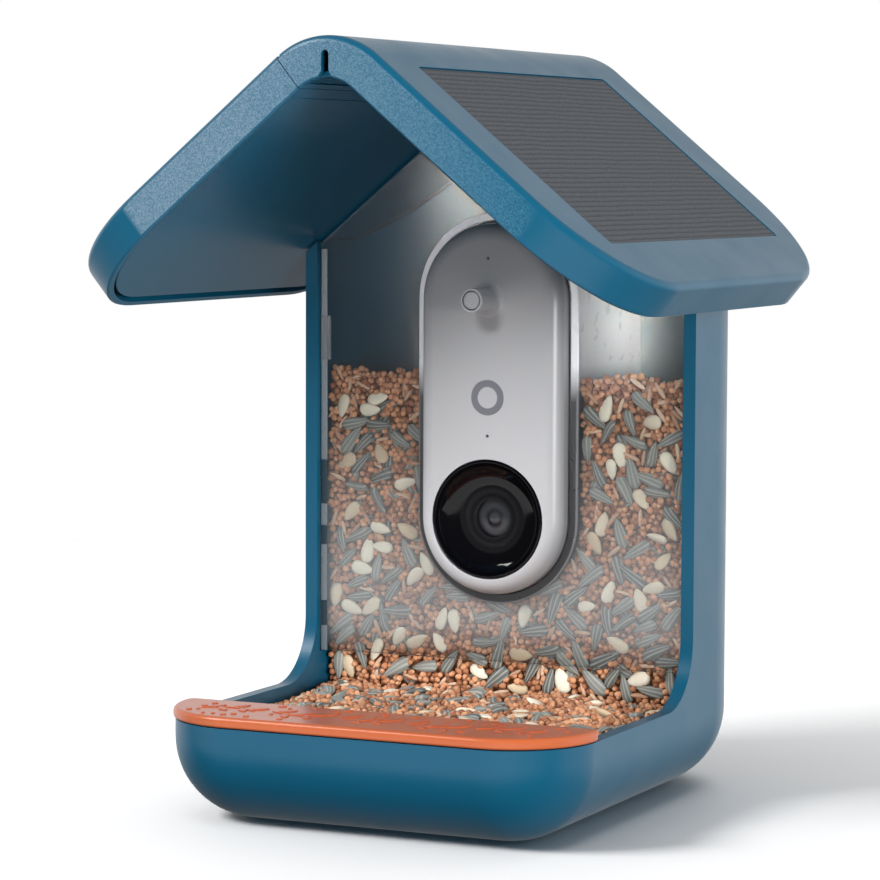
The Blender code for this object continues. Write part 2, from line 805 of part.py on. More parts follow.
def make_sleeve(carrier, clear):
    """Tube round the camera with a flange on the window's face."""
    flange_back = flange_front + flange_thickness
    levels = [
        (sleeve_inner, flange_front),
        (flange_half_width - flange_fillet, flange_front),
        (flange_half_width, flange_front + flange_fillet),
        (flange_half_width, flange_back),
        (sleeve_outer, flange_back),
        (sleeve_outer, sleeve_back),
        (sleeve_inner, sleeve_back),
    ]
    stadium("camera_sleeve", levels, carrier, clear, ring=True)


def make_ramp(carrier, grey):
    """Sloping floor from the back wall down to the tray, trimmed to the hollow's rounded sides."""
    slope = math.tan(ramp_angle)
    drop = ramp_thickness / math.cos(ramp_angle)
    floor = wall + clearance
    start, end = ramp_front - overrun, body_back
    profile = [(start, floor - overrun * slope), (end, floor + (end - ramp_front) * slope)]
    profile += [(y, z - drop) for y, z in reversed(profile)]
    ramp = prism("seed_ramp", profile, "X", -body_half_width, body_half_width, carrier, grey)
    boolean(ramp, tub("ramp_limit", wall + clearance, total_height, carrier), "INTERSECT")


def make_perch(carrier, orange):
    """Board on the tray's front rim, with two clips behind the rim."""
    size = (body_half_width + perch_overhang, tray_front - perch_overhang, perch_rear,
            front_corner_radius + perch_overhang, perch_rear_corner_radius)
    top = perch_low_z + perch_thickness
    levels = [(perch_low_round, perch_low_z), (0, perch_low_z + perch_low_round)]
    for step in range(fillet_steps + 1):
        angle = math.pi / 2 * step / fillet_steps
        inset = perch_top_round * (1 - math.cos(angle))
        levels.append((inset, top - perch_top_round * (1 - math.sin(angle))))
    loops = [plan_loop(inset, z, *size) for inset, z in levels]
    perch = lofted("perch", loops, carrier, orange)
    inner = tray_front + wall + clearance
    for side, name in ((-1, "clip_left"), (1, "clip_right")):
        middle = side * perch_clip_x
        half = perch_clip_width / 2
        low = (middle - half, inner, perch_low_z - perch_clip_drop)
        high = (middle + half, inner + perch_clip_thickness, perch_low_z + perch_thickness / 2)
        join(perch, box(name, low, high, carrier))


def camera_screw_places():
    run = stadium_high_z - stadium_low_z
    heights = [stadium_low_z + share * run for share in camera_screw_shares]
    return [(side * camera_screw_x, z) for z in heights for side in (-1, 1)]


def button_boss_profile():
    """Rounded tip, straight shank and a flare that runs out into the front face."""
    edge, flare = button_boss_edge, button_flare
    tip = (button_boss_radius - edge, boss_tip_y + edge)
    foot = (button_boss_radius + flare, camera_front_y - flare + button_flare_sink)
    profile = arc_points(tip, edge, -math.pi / 2, 0, fillet_steps)
    profile += arc_points(foot, flare, math.pi, math.pi / 2, fillet_steps)
    profile.append((button_boss_radius + flare, camera_front_y + camera_face / 2))
    return profile


def make_camera_front(carrier, light):
    """Front shell: a stadium with a soft edge, hollow behind, with the button's boss on its face."""
    levels = []
    for step in range(corner_steps + 1):
        angle = math.pi / 2 * step / corner_steps
        half = camera_half_width - camera_edge_radius * (1 - math.sin(angle))
        levels.append((half, camera_front_y + camera_edge_radius * (1 - math.cos(angle))))
    levels.append((camera_half_width, camera_parting_y))
    inner = camera_half_width - camera_wall
    inner_round = camera_edge_radius - camera_wall
    levels += [(inner, camera_parting_y), (inner, camera_inner_face_y + inner_round),
               (inner - inner_round, camera_inner_face_y)]
    shell = stadium("camera_front", levels, carrier, light)
    middle = (0, stadium_low_z)
    before, behind = camera_front_y - overrun, camera_parting_y + overrun
    screw_start = camera_inner_face_y + boss_cap
    screw_bore = camera_screw_radius + clearance
    bosses = []
    holes = []
    for number, place in enumerate(camera_screw_places(), 1):
        bosses.append(rod(f"front_boss_{number}", camera_boss_radius, "Y", place,
                          camera_inner_face_y - camera_face / 2, camera_parting_y, carrier))
        holes.append(rod(f"front_hole_{number}", screw_bore, "Y", place, screw_start, behind, carrier))
    for name, z in (("microphone_hole", microphone_z), ("led_hole", led_z)):
        cut(shell, rod(name, pinhole_radius, "Y", (0, z), before, screw_start, carrier))
    join(shell, *bosses)
    join(shell, turned("button_boss", button_boss_profile(), "Y", (0, button_z), carrier, None, round_steps))
    cut(shell, *holes)
    cut(shell, rod("button_bore", button_bore_radius, "Y", (0, button_z),
                   boss_tip_y - overrun, behind, carrier, None, round_steps))
    opening = dish_radius + dish_fit
    cut(shell, rod("lens_opening", opening, "Y", middle, before, behind, carrier, None, 2 * round_steps))


def make_camera_rear(carrier, dark):
    """Rear shell with screw posts, board stand-offs, the port's opening and the flap's lugs."""
    outer = camera_half_width
    inner = outer - camera_wall
    levels = [(inner, camera_rear_inner_y), (inner, rear_shell_front_y), (outer, rear_shell_front_y)]
    for step in range(fillet_steps + 1):
        angle = math.pi / 2 * step / fillet_steps
        half = outer - camera_rear_radius * (1 - math.cos(angle))
        levels.append((half, camera_rear_y - camera_rear_radius * (1 - math.sin(angle))))
    shell = stadium("camera_rear", levels, carrier, dark)
    inside = camera_rear_inner_y + camera_wall / 2
    behind = camera_rear_y + overrun
    front = rear_shell_front_y
    seat = front + camera_seat_wall
    bore, sink = camera_screw_radius + clearance, camera_screw_head_radius + clearance
    for number, place in enumerate(camera_screw_places(), 1):
        join(shell, rod(f"rear_post_{number}", camera_post_radius, "Y", place, front, inside, carrier))
    for number, place in enumerate(camera_screw_places(), 1):
        cut(shell, rod(f"rear_hole_{number}", bore, "Y", place, front - overrun, behind, carrier))
        cut(shell, rod(f"rear_sink_{number}", sink, "Y", place, seat, behind, carrier))
    board_back = main_board_y + main_board_thickness + clearance
    for number, (x, z) in enumerate(standoff_places(), 1):
        join(shell, rod(f"standoff_{number}", standoff_radius, "Y", (x, z), board_back, inside, carrier))
    wide = port_half_width + clearance
    tall = port_half_height + clearance
    low = (-wide, camera_rear_inner_y - overrun, port_z - tall)
    cut(shell, box("port_opening", low, (wide, behind, port_z + tall), carrier))
    for side, name in ((-1, "flap_lug_left"), (1, "flap_lug_right")):
        near = flap_half_width + clearance
        ends = sorted((side * near, side * (near + lug_width)))
        low = (ends[0], camera_rear_y - camera_wall / 2, flap_hinge_z - lug_half_height)
        high = (ends[1], flap_y + flap_thickness, flap_hinge_z + lug_half_height)
        join(shell, box(name, low, high, carrier))


def standoff_places():
    """Two posts under each end of the main board."""
    return [(side * standoff_x, z) for z in (stadium_low_z - standoff_reach, stadium_high_z + standoff_reach)
            for side in (-1, 1)]


def make_camera_seal_and_screws(carrier, rubber, steel):
    """Seal between the shells, shaped round the screws, and the four screws."""
    outer = camera_half_width - gasket_inset
    inner = outer - gasket_width
    ends = (gasket_y, gasket_y + gasket_thickness)
    levels = [(outer, ends[0]), (outer, ends[1]), (inner, ends[1]), (inner, ends[0])]
    gasket = stadium("camera_gasket", levels, carrier, rubber, ring=True)
    seat = rear_shell_front_y + camera_seat_wall
    for number, place in enumerate(camera_screw_places(), 1):
        cut(gasket, rod(f"gasket_hole_{number}", camera_screw_radius + clearance, "Y", place,
                        ends[0] - overrun, ends[1] + overrun, carrier))
        head = seat + clearance
        profile = [(camera_screw_radius, head - camera_screw_length), (camera_screw_radius, head),
                   (camera_screw_head_radius, head), (camera_screw_head_radius, head + camera_screw_head)]
        turned(f"camera_screw_{number}", profile, "Y", place, carrier, steel, small_round_steps)


def make_lens(carrier, gloss, glass, dark, board):
    """Dish, cover glass, barrel, front element and sensor board on one axis."""
    axis = (0, stadium_low_z)
    front = camera_front_y
    floor = front + dish_depth
    lip = dish_radius - dish_lip
    profile = [(dish_radius, front + clearance), (dish_radius - clearance, front), (lip, front)]
    for step in range(1, corner_steps + 1):
        angle = math.pi / 2 * step / corner_steps
        radius = lip - (lip - dish_flat_radius) * (1 - math.cos(angle))
        profile.append((radius, front + dish_depth * math.sin(angle)))
    step_floor = floor + dish_step
    profile += [(dish_step_radius, floor), (dish_step_radius, step_floor), (dish_bore_radius, step_floor),
                (dish_bore_radius, dish_back_y), (dish_radius, dish_back_y)]
    turned("lens_dish", profile, "Y", axis, carrier, gloss, 2 * round_steps, ring=True)
    rod("lens_glass", dish_bore_radius - clearance, "Y", axis, dish_back_y - glass_thickness, dish_back_y,
        carrier, glass, round_steps)

    start = dish_back_y + clearance
    end = start + barrel_length
    bore = barrel_bore_radius
    tube = [(barrel_radius, start), (barrel_radius, end), (bore, end), (bore, start)]
    turned("lens_barrel", tube, "Y", axis, carrier, dark, round_steps, ring=True)
    rim = bore - clearance
    base = start + clearance + element_dome + element_thickness
    dome = [(rim * math.cos(angle), base - element_thickness - element_dome * math.sin(angle))
            for angle in (math.radians(75), math.radians(50), math.radians(25), 0)]
    turned("lens_element", dome + [(rim, base)], "Y", axis, carrier, glass, round_steps)

    half = sensor_board_side / 2
    back = end + clearance
    box("sensor_board", (-half, back, stadium_low_z - half),
        (half, back + sensor_board_thickness, stadium_low_z + half), carrier, board)


def make_electronics(carrier, board, grey, steel, light):
    """Main board, battery, microphone and status light."""
    half = main_board_half_width
    low, high = stadium_low_z - standoff_reach, stadium_high_z + standoff_reach
    outline = arc_points((0, high - standoff_x), half, 0, math.pi, corner_steps)
    outline += arc_points((0, low + standoff_x), half, math.pi, 2 * math.pi, corner_steps)
    prism("main_board", outline, "Y", main_board_y, main_board_y + main_board_thickness, carrier, board)

    back = camera_rear_inner_y - clearance
    bm = bmesh.new()
    bmesh.ops.create_cube(bm, size=1.0)
    low, high = stadium_low_z + battery_low_margin, stadium_high_z - battery_high_margin
    size = (2 * battery_half_width, battery_thickness, high - low)
    centre = (0, back - battery_thickness / 2, (low + high) / 2)
    for vert in bm.verts:
        vert.co = Vector([centre[i] + vert.co[i] * size[i] for i in range(3)])
    upright = [edge for edge in bm.edges if abs(edge.verts[0].co.z - edge.verts[1].co.z) > battery_round]
    bmesh.ops.bevel(bm, geom=upright, offset=battery_round, segments=fillet_steps, affect="EDGES",
                    profile=0.5)
    finish_mesh("battery", bm, grey, carrier)

    seat = camera_inner_face_y + clearance
    end = seat + microphone_thickness
    rod("microphone", microphone_radius, "Y", (0, microphone_z), seat, end, carrier, steel)
    box("status_led", (-led_half_width, seat, led_z - led_half_width),
        (led_half_width, seat + led_thickness, led_z + led_half_width), carrier, light)


def make_button(carrier, camera_carrier, light, dark):
    """Button cap with its stem and collar, and the switch behind it on the main board."""
    half = switch_half_width
    back = main_board_y - clearance
    front = back - switch_thickness
    low, high = (-half, front, button_z - half), (half, back, button_z + half)
    box("button_switch", low, high, camera_carrier, dark)
    collar = camera_inner_face_y + clearance
    collar_back = collar + button_collar
    tip = front - button_travel - clearance
    profile = [(button_radius - clearance, boss_tip_y), (button_radius, boss_tip_y + clearance),
               (button_radius, collar), (button_collar_radius, collar), (button_collar_radius, collar_back),
               (button_stem_radius, collar_back), (button_stem_radius, tip)]
    turned("power_button", profile, "Y", (0, button_z), carrier, light, round_steps)


def make_port(carrier, flap_carrier, steel, rubber):
    """Charging port in the rear shell, and the flap that covers it."""
    front, back = camera_rear_y - port_depth, camera_rear_y
    port = box("usb_port", (-port_half_width, front, port_z - port_half_height),
               (port_half_width, back, port_z + port_half_height), carrier, steel)
    edge = port_shell
    mouth_low = (-port_half_width + edge, front + 2 * edge, port_z - port_half_height + edge)
    mouth_high = (port_half_width - edge, back + overrun, port_z + port_half_height - edge)
    cut(port, box("port_mouth", mouth_low, mouth_high, carrier))
    half, thin = port_tongue_half_width, port_tongue_half_height
    join(port, box("port_tongue", (-half, front + edge, port_z - thin),
                   (half, back - 2 * edge, port_z + thin), carrier))

    flap = box("usb_cover", (-flap_half_width, flap_y, port_z - flap_half_height),
               (flap_half_width, flap_y + flap_thickness, flap_hinge_z), flap_carrier, rubber)
    join(flap, rod("flap_barrel", flap_hinge_radius, "X", (flap_hinge_y, flap_hinge_z),
                   -flap_half_width, flap_half_width, flap_carrier))


def main():
    clear_scene()
    places = {
        "feeder": (0, 0, 0),
        "lid": (hinge_x, 0, hinge_z),
        "perch_base": (0, tray_front, perch_low_z),
        "camera": (0, camera_front_y, stadium_low_z),
        "button": (0, boss_tip_y, button_z),
        "flap": (0, flap_hinge_y, flap_hinge_z),
    }
    empties = {}
    for name, place in places.items():
        empty = bpy.data.objects.new(name, None)
        bpy.context.scene.collection.objects.link(empty)
        empty.location = place
        frame_place[name] = Vector(place)
        empties[name] = empty
    for name, empty in empties.items():
        if name != "feeder":
            empty.parent = empties["feeder"]
    empties["feeder"].location = (0, -roof_depth / 2, 0)

    blue = plastic("blue_plastic", (0.022, 0.13, 0.23), 0.38)
    navy = plastic("navy_plastic", (0.02, 0.06, 0.1), 0.45)
    orange = plastic("orange_plastic", (0.68, 0.13, 0.035), 0.42)
    clear = plastic("clear_plastic", (0.8, 0.84, 0.86), 0.08, alpha=0.3)
    light = plastic("light_plastic", (0.62, 0.64, 0.66), 0.2)
    dark = plastic("dark_plastic", (0.03, 0.032, 0.035), 0.4)
    gloss = plastic("gloss_black", (0.005, 0.005, 0.006), 0.08)
    glass = plastic("lens_glass", (0.02, 0.02, 0.03), 0.03, alpha=0.5)
    cell = plastic("solar_cell", (0.03, 0.032, 0.04), 0.3)
    grey = plastic("grey_plastic", (0.25, 0.26, 0.27), 0.5)
    rubber = plastic("black_rubber", (0.02, 0.02, 0.02), 0.8)
    board = plastic("circuit_board", (0.02, 0.12, 0.05), 0.5)
    steel = plastic("steel", (0.55, 0.56, 0.58), 0.3, metallic=1.0)
    brass = plastic("brass", (0.7, 0.5, 0.2), 0.3, metallic=1.0)

    feeder, camera = empties["feeder"], empties["camera"]
    make_housing(feeder, blue, brass)
    shell = make_roof(feeder, empties["lid"], blue, navy, steel)
    make_solar_panel(shell, feeder, cell)
    make_roof_screws(feeder, steel)
    make_window(feeder, clear)
    make_sleeve(feeder, clear)
    make_ramp(feeder, grey)
    make_perch(empties["perch_base"], orange)
    make_camera_front(camera, light)
    make_camera_rear(camera, dark)
    make_camera_seal_and_screws(camera, rubber, steel)
    make_lens(camera, gloss, glass, dark, board)
    make_electronics(camera, board, grey, steel, light)
    make_button(empties["button"], camera, light, dark)
    make_port(camera, empties["flap"], steel, rubber)


frame_place = {}
smooth_angle = math.radians(35)

main()
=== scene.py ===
"""Looks of the smart bird feeder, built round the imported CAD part.

The visible mouldings are modelled again here from the same sizes, with finer rounds and soft edges.
Lengths are in metres. While a piece is made, Y is counted from the front of the roof.
"""

import json
import random
from math import asin, atan2, copysign, cos, dist, hypot, pi, radians, sin, tan

import bmesh
import bpy
import numpy as np
from mathutils import Matrix, Vector


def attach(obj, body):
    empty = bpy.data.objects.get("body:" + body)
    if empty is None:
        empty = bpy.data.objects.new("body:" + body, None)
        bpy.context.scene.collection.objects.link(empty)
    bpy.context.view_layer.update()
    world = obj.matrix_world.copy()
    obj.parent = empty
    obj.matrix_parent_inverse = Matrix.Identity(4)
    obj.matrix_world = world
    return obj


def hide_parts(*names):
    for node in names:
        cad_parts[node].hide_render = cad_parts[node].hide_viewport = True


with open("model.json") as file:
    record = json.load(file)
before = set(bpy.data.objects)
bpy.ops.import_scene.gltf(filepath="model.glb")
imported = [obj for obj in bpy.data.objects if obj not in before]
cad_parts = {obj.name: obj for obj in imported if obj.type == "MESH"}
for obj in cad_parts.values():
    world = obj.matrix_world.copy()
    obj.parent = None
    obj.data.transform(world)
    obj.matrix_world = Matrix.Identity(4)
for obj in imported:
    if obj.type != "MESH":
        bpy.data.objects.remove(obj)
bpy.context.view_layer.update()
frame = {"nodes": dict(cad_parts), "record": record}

MM = 0.001
clearance = 0.3 * MM
overrun = 5 * MM

# Roof
total_height = 228 * MM
roof_depth = 178 * MM
roof_pitch = radians(39.7)
ridge_radius = 24.4 * MM
slope_length = 99.2 * MM
roof_thickness = 11.7 * MM
roof_skin = 2.4 * MM
roof_skirt = 2.2 * MM
roof_corner_radius = 38 * MM
roof_top_fillet = 2.2 * MM
roof_low_fillet = 0.5 * MM
roof_seam = 0.3 * MM
liner_thickness = 1.6 * MM
liner_recess = 0.2 * MM
liner_eave_gap = 2 * MM
notch_width = 2.3 * MM
notch_drop = 4.1 * MM
notch_straight = 4.6 * MM
notch_mouth_width = 5.6 * MM
notch_mouth_height = 2.4 * MM
solar_top_margin = 4.2 * MM
solar_length = 76.2 * MM
solar_front_margin = 20.4 * MM
solar_rear_margin = 21.4 * MM
solar_recess = 1.5 * MM
solar_thickness = 1 * MM
solar_corner_radius = 1.2 * MM
hinge_depth = 0.65 * MM
knuckle_radius = 2 * MM
knuckle_sink = 0.1 * MM
pin_bore_radius = 0.7 * MM
end_knuckle_margin = 12 * MM
roof_knuckle_length = 20 * MM
seam_wall = 3.8 * MM
relief_width = 0.9 * MM
relief_side_depth = 0.8 * MM
relief_depth = 1.1 * MM
relief_floor = 0.5 * MM
tongue_thickness = 3 * MM
tongue_shares = (-0.29, 0.9)
tongue_drop = 42 * MM
roof_screw_shares = (-0.04, 0.66)
roof_screw_drop = 36 * MM
roof_screw_hole = 1.5 * MM
roof_screw_sink = 3.2 * MM
roof_screw_sink_depth = 1.9 * MM

# Housing
body_half_width = 66 * MM
wall = 4.1 * MM
tray_front = 13.2 * MM
front_corner_radius = 26 * MM
rear_corner_radius = 41 * MM
base_radius = 24.4 * MM
wall_lead = 2.8 * MM
rim_height = 29.6 * MM
sweep_radius = 20 * MM
roof_seat = 0.3 * MM
drain_radius = 1.7 * MM
drain_pitch = 24 * MM
drain_row_setbacks = (50.7 * MM, 24.7 * MM)
insert_bore_radius = 4.9 * MM
insert_bore_depth = 8.9 * MM
boss_radius = 7.2 * MM
boss_length = 10.6 * MM
base_insert_inset = 36 * MM
rear_insert_height_share = 0.526
access_half_width = 13 * MM
access_half_height = 10 * MM
access_corner_radius = 5 * MM

# Window, sleeve and perch
hopper_depth = 58.5 * MM
window_thickness = 2 * MM
window_lift = 8.4 * MM
groove_depth = 1.5 * MM
tab_width = 3.4 * MM
tab_thickness = 1 * MM
tab_drop = 36 * MM
tab_height = 14 * MM
stadium_low_z = 83.4 * MM
stadium_drop = 77 * MM
camera_half_width = 23.8 * MM
camera_fit = 0.4 * MM
sleeve_wall = 1.3 * MM
flange_half_width = 27 * MM
flange_thickness = 0.9 * MM
flange_fillet = 0.4 * MM
perch_overhang = 0.6 * MM
perch_depth = 29.2 * MM
perch_thickness = 3.2 * MM
perch_rear_corner_radius = 3 * MM
perch_top_round = 1.4 * MM
perch_low_round = 0.7 * MM
perch_clip_x = 30 * MM
perch_clip_width = 16 * MM
perch_clip_thickness = 1.8 * MM
perch_clip_drop = 6 * MM

# Camera module
camera_proud = 8.8 * MM
camera_rim_depth = 13.3 * MM
camera_depth = 49.3 * MM
camera_edge_radius = 5.5 * MM
camera_rear_radius = 3 * MM
camera_wall = 1.8 * MM
camera_face = 2.2 * MM
gasket_thickness = 1 * MM
camera_screw_x = 18.3 * MM
camera_screw_shares = (0.245, 0.865)
camera_screw_sink = 2.4 * MM
camera_seat_wall = 9 * MM
dish_radius = 18.3 * MM
dish_fit = 0.3 * MM
dish_depth = 4.2 * MM
dish_flat_radius = 10.2 * MM
dish_step_radius = 8.9 * MM
dish_step = 0.4 * MM
dish_bore_radius = 5.9 * MM
dish_lip = 0.8 * MM
dish_body_depth = 6.9 * MM
glass_thickness = 1.2 * MM
microphone_z = 109.2 * MM
led_rise = 13 * MM
pinhole_radius = 0.5 * MM
button_rise = 0.4 * MM
button_boss_radius = 3.7 * MM
button_boss_reach = 12.4 * MM
button_boss_edge = 0.4 * MM
button_flare = 2.4 * MM
button_flare_sink = 0.05 * MM
button_bore_radius = 3 * MM
button_radius = 2.7 * MM
button_collar_radius = 3.95 * MM
button_collar = 1.2 * MM
button_stem_radius = 1.6 * MM
button_stem_end = 129.2 * MM
port_drop = 7.4 * MM
port_half_width = 4.5 * MM
port_half_height = 1.6 * MM
flap_half_width = 7.5 * MM
flap_half_height = 3.6 * MM
flap_thickness = 1.4 * MM
flap_hinge_radius = 1 * MM
lug_width = 1.6 * MM
lug_half_height = 1.5 * MM

# Small parts of the looks
bead_widths = (2.1 * MM, 0.45 * MM)
bead_height = 0.5 * MM
bead_drop = 1 * MM
clip_widths = (1.9 * MM, 0.4 * MM)
clip_height = 0.4 * MM
window_clips = ((46 * MM, 54 * MM), (72 * MM, 78 * MM), (85 * MM, 99 * MM))
badge_z = 121.1 * MM
badge_radius = 5.5 * MM
badge_inner_radius = 3.3 * MM
badge_height = 0.06 * MM
button_rim = 0.5 * MM
dish_rim_fall = 0.05 * MM
lens_dome_share = 0.4
lens_dome_rise = 0.5 * MM
lens_dome_angles = (0.02, 0.3, 0.6, 0.9, 1.2, pi / 2)
lens_ring_shares = (0.58, 0.78, 1)
lens_step = 0.15 * MM

# Relief on the perch
relief_rise = 0.3 * MM
relief_margin = 2.2 * MM
sprig_starts = (-54 * MM, -31 * MM, -9 * MM, 13 * MM, 35 * MM)
sprig_y = 28 * MM
sprig_step = 1.75 * MM
sprig_sway = 3.2 * MM
stem_half_width = 0.4 * MM
leaf_half_width = 1.5 * MM
leaf_stalk = 0.7 * MM
leaf_taper = 0.25
leaf_steps = 12
berry_radii = (0.6 * MM, 0.9 * MM, 1.3 * MM)
berry_room = 1.1 * MM
berry_tries = 60
berry_steps = 20

# Smoothness
corner_steps = 18
fillet_steps = 6
ridge_steps = 40
round_steps = 64
stadium_steps = 40
soft_edge = 0.35 * MM
housing_edge = 0.45 * MM
module_edge = 0.25 * MM
thin_edge = 0.2 * MM
fine_edge = 0.12 * MM
bevel_angle = 38

# Places that follow
ridge_centre_z = total_height - ridge_radius
ridge_arc = ridge_radius * roof_pitch
eave = ridge_arc + slope_length
body_back = roof_depth
window_front = body_back - hopper_depth
window_back = window_front + window_thickness
wall_front = window_front - wall_lead
window_bottom = rim_height + window_lift
stadium_high_z = total_height - stadium_drop
seat_level = roof_thickness + roof_seat
liner_low = roof_thickness - liner_recess
inner_half_width = body_half_width - wall
inner_back = body_back - wall
sleeve_inner = camera_half_width + camera_fit
sleeve_outer = sleeve_inner + sleeve_wall
flange_front = window_front - clearance - flange_thickness
sleeve_back = inner_back - clearance
hinge_x = -(ridge_radius - hinge_depth) * sin(roof_pitch)
hinge_z = ridge_centre_z + (ridge_radius - hinge_depth) * cos(roof_pitch)
perch_low_z = rim_height + clearance
perch_top_z = perch_low_z + perch_thickness
perch_rear = tray_front + perch_depth
roof_screw_places = [(share * ridge_radius, total_height - roof_screw_drop) for share in roof_screw_shares]
camera_front_y = window_front - camera_proud
camera_parting_y = camera_front_y + camera_rim_depth
camera_rear_y = camera_front_y + camera_depth
camera_inner_face_y = camera_front_y + camera_face
rear_shell_front_y = camera_parting_y + 2 * clearance + gasket_thickness
dish_back_y = camera_front_y + dish_body_depth
button_z = stadium_high_z + button_rise
boss_tip_y = camera_front_y - button_boss_reach
port_z = stadium_low_z - port_drop
flap_y = camera_rear_y + clearance
flap_hinge_z = port_z + flap_half_height + flap_hinge_radius
module_inner = camera_half_width - camera_wall
roof_near = -ridge_arc + roof_seam / 2
lid_near = ridge_arc + roof_seam / 2
tongue_left, tongue_right = [share * ridge_radius for share in tongue_shares]
tongue_back = inner_back - clearance
tongue_front = tongue_back - tongue_thickness
window_edge = inner_half_width - clearance
window_face = window_front - clearance / 10
to_frame = Matrix.Translation((0, -roof_depth / 2, 0))

# Visible pieces with their slots, filled in as they are made
made = []

# Looks that go by place
BLUE = (0.004, 0.074, 0.135)
gable_y = -roof_depth / 2
grain_scale = 2300
grain_depth = 0.035 * MM
grain_reach = 63 * MM
grain_end = 69 * MM
grain_lean = 3 * MM
# Reach of the painted sheen that pales the gable's grain toward the left
grain_painted_sheen_reach = 30 * MM
solar_line_rise = 1.31 * MM
solar_line_wave = 0.3 * MM
# Painted reflection of the floor on the window, strongest low on the sheet
floor_reflection_low_z = 62 * MM
floor_reflection_high_z = 112 * MM
floor_reflection_foot = 10 * MM
floor_reflection_peak = 0.095
floor_reflection_high = 0.012
# Ring round the camera: radii and heights of its painted shade, painted highlight and painted reflected
# light
ring_painted_shade_radius = camera_half_width + 0.7 * MM
ring_painted_highlight_radius = flange_half_width - 0.7 * MM
ring_painted_shade_blur = 0.35 * MM
ring_painted_highlight_blur = 0.3 * MM
ring_painted_reflection_low_z = 120 * MM
ring_painted_reflection_high_z = 131 * MM

# Kinds of seed: half length, half width, half thickness, taper along the length
SEED_KINDS = {
    "grain": (1.14 * MM, 1.02 * MM, 0.98 * MM, 0.12),
    "sunflower": (4.8 * MM, 2.0 * MM, 1.25 * MM, 0.3),
    "pale": (3.8 * MM, 2.2 * MM, 0.95 * MM, 0.2),
    "straw": (2.9 * MM, 0.72 * MM, 0.7 * MM, 0.12),
}

# How the seed lies
seed_sizes = (0.85, 1.12)
seed_top = 128 * MM
seed_gap = 0.15 * MM
hopper_foot = 11.5 * MM
hopper_leans = (0.16, 0.3)
tray_leans = (0.2, 0.35)
grain_lie = 1.5
grain_spread = 1.1 * MM
big_spread = 0.5 * MM
crest_waves = ((0.9 * MM, 190), (0.6 * MM, 470))
crest_reach = 3 * MM
sleeve_room = 0.7
big_margin = 1.3 * MM
big_foot_rise = 2 * MM
big_crest_drop = 7 * MM
throw_tries = 30
cluster_share = 0.62
cluster_size = 4.5 * MM
end_shares = (-0.6, 0, 0.6)
big_room = 0.66
grain_room = 0.95
grid_cell = 5 * MM
row_share = 0.87
jitter_share = 0.16
heap_low = 25 * MM
heap_crown = 2.5 * MM
heap_back_rise = 0.5 * MM
heap_back_reach = 24 * MM
heap_side_reach = 14 * MM
heap_ripple = 0.8 * MM
heap_rates = (160, 90)
heap_spread = 0.6 * MM
heap_overlap = 1 * MM
heap_front = perch_rear - 9 * MM
under_perch_reach = 4 * MM
under_perch_drop = 2.2 * MM
bed_drop = 3.2 * MM
bed_gap = 4 * MM
bed_depth = 10 * MM
bed_foot = 14 * MM
bed_top_drop = 2.5 * MM
bed_columns = 60
bed_rows = 44

# Piles of seed: name, kind and how finely each seed is divided
PILES = (
    ("grain", "grain", 3),
    ("grain_tray", "grain", 3),
    ("grain_far", "grain", 2),
    ("sunflower", "sunflower", 5),
    ("pale", "pale", 4),
    ("straw", "straw", 3),
)

# Upright layers: pile for the grains, depth behind the window, big seeds, spacing, drop of its top
HOPPER_LAYERS = (
    ("grain", 1.5 * MM, (("pale", 46), ("sunflower", 105), ("straw", 95)), 2.05 * MM, 0),
    ("grain_far", 3.6 * MM, (("sunflower", 60), ("straw", 40)), 2.15 * MM, 0.5 * MM),
)

# Layers in the tray: pile for the grains, drop below the heap's top, big seeds, spacing
TRAY_LAYERS = (
    ("grain_tray", 0, (("pale", 30), ("sunflower", 100), ("straw", 60)), 2.1 * MM),
    ("grain_far", 1.8 * MM, (("sunflower", 40), ("straw", 30)), 2.2 * MM),
)

# Stage, in the frame's own places
floor_half_width = 2.5
floor_near_y = -3.93
floor_far_y = 0.57
floor_sink = 0.1 * MM
view_place = (428.743 * MM, -843.225 * MM - roof_depth / 2, 190.418 * MM)
view_turn = radians(24.998)
view_fall = radians(4.507)
view_roll = radians(0.213)
view_lens = 139.27
view_sensor = 36
view_reach = 20
pane_y = -1.26 - roof_depth / 2
pane_z = 0.14
pane_height = 0.19
pane_target = (0, window_front - roof_depth / 2, 0.16)
key_place = (-1.05, -0.9, 1.25)
key_target = (0, 0, 0.05)
fill_place = (1.3, -0.7, 0.2)
mid_target = (0, 0, 0.1)

# Ramps of the surround's strength: axis, start, end, share at the start, share at the end
WORLD_RAMPS = ((1, -0.25, 0.15, 0.06, 1), (2, -0.42, -0.16, 0.25, 1), (2, 0.15, 0.8, 1, 0.35))

# Lamps: name, place, target, size, power, what it lights, whether reflections show it
LAMPS = (
    ("key", key_place, key_target, (0.6, 0.6), 17, "all", True),
    ("low", (-1.3, -0.45, 0.45), mid_target, (0.6, 0.6), 4, "all", False),
    ("front", (-0.3, -1.3, 1.05), mid_target, (0.9, 0.5), 14, "all_but_floor", False),
    ("fill", fill_place, mid_target, (0.8, 0.5), 26, "all_but_both", False),
    ("face", (0.4, -1.05, 0.06), (0, 0, 0.06), (0.6, 0.3), 5, "all_but_both", False),
    ("bounce", (-0.06, -0.4, -0.01), (-0.06, -0.4, 1), (0.72, 0.52), 1.2, "all_but_floor", True),
    ("floor_key", key_place, key_target, (0.6, 0.6), 15, "floor_only", True),
    ("floor_top", (0, -0.5, 1.6), (0, -0.5, 0), (1.2, 1.2), 8, "floor_only", True),
    ("floor_back", (0.2, 1.1, 1.7), (0.3, 0.4, 0), (1.2, 1.2), 11, "floor_only", True),
    ("camera_front", (-0.1, -1.3, 1.05), mid_target, (0.6, 0.6), 17, "shells_only", True),
    ("camera_fill", fill_place, mid_target, (0.5, 0.5), 9, "shells_only", True),
)

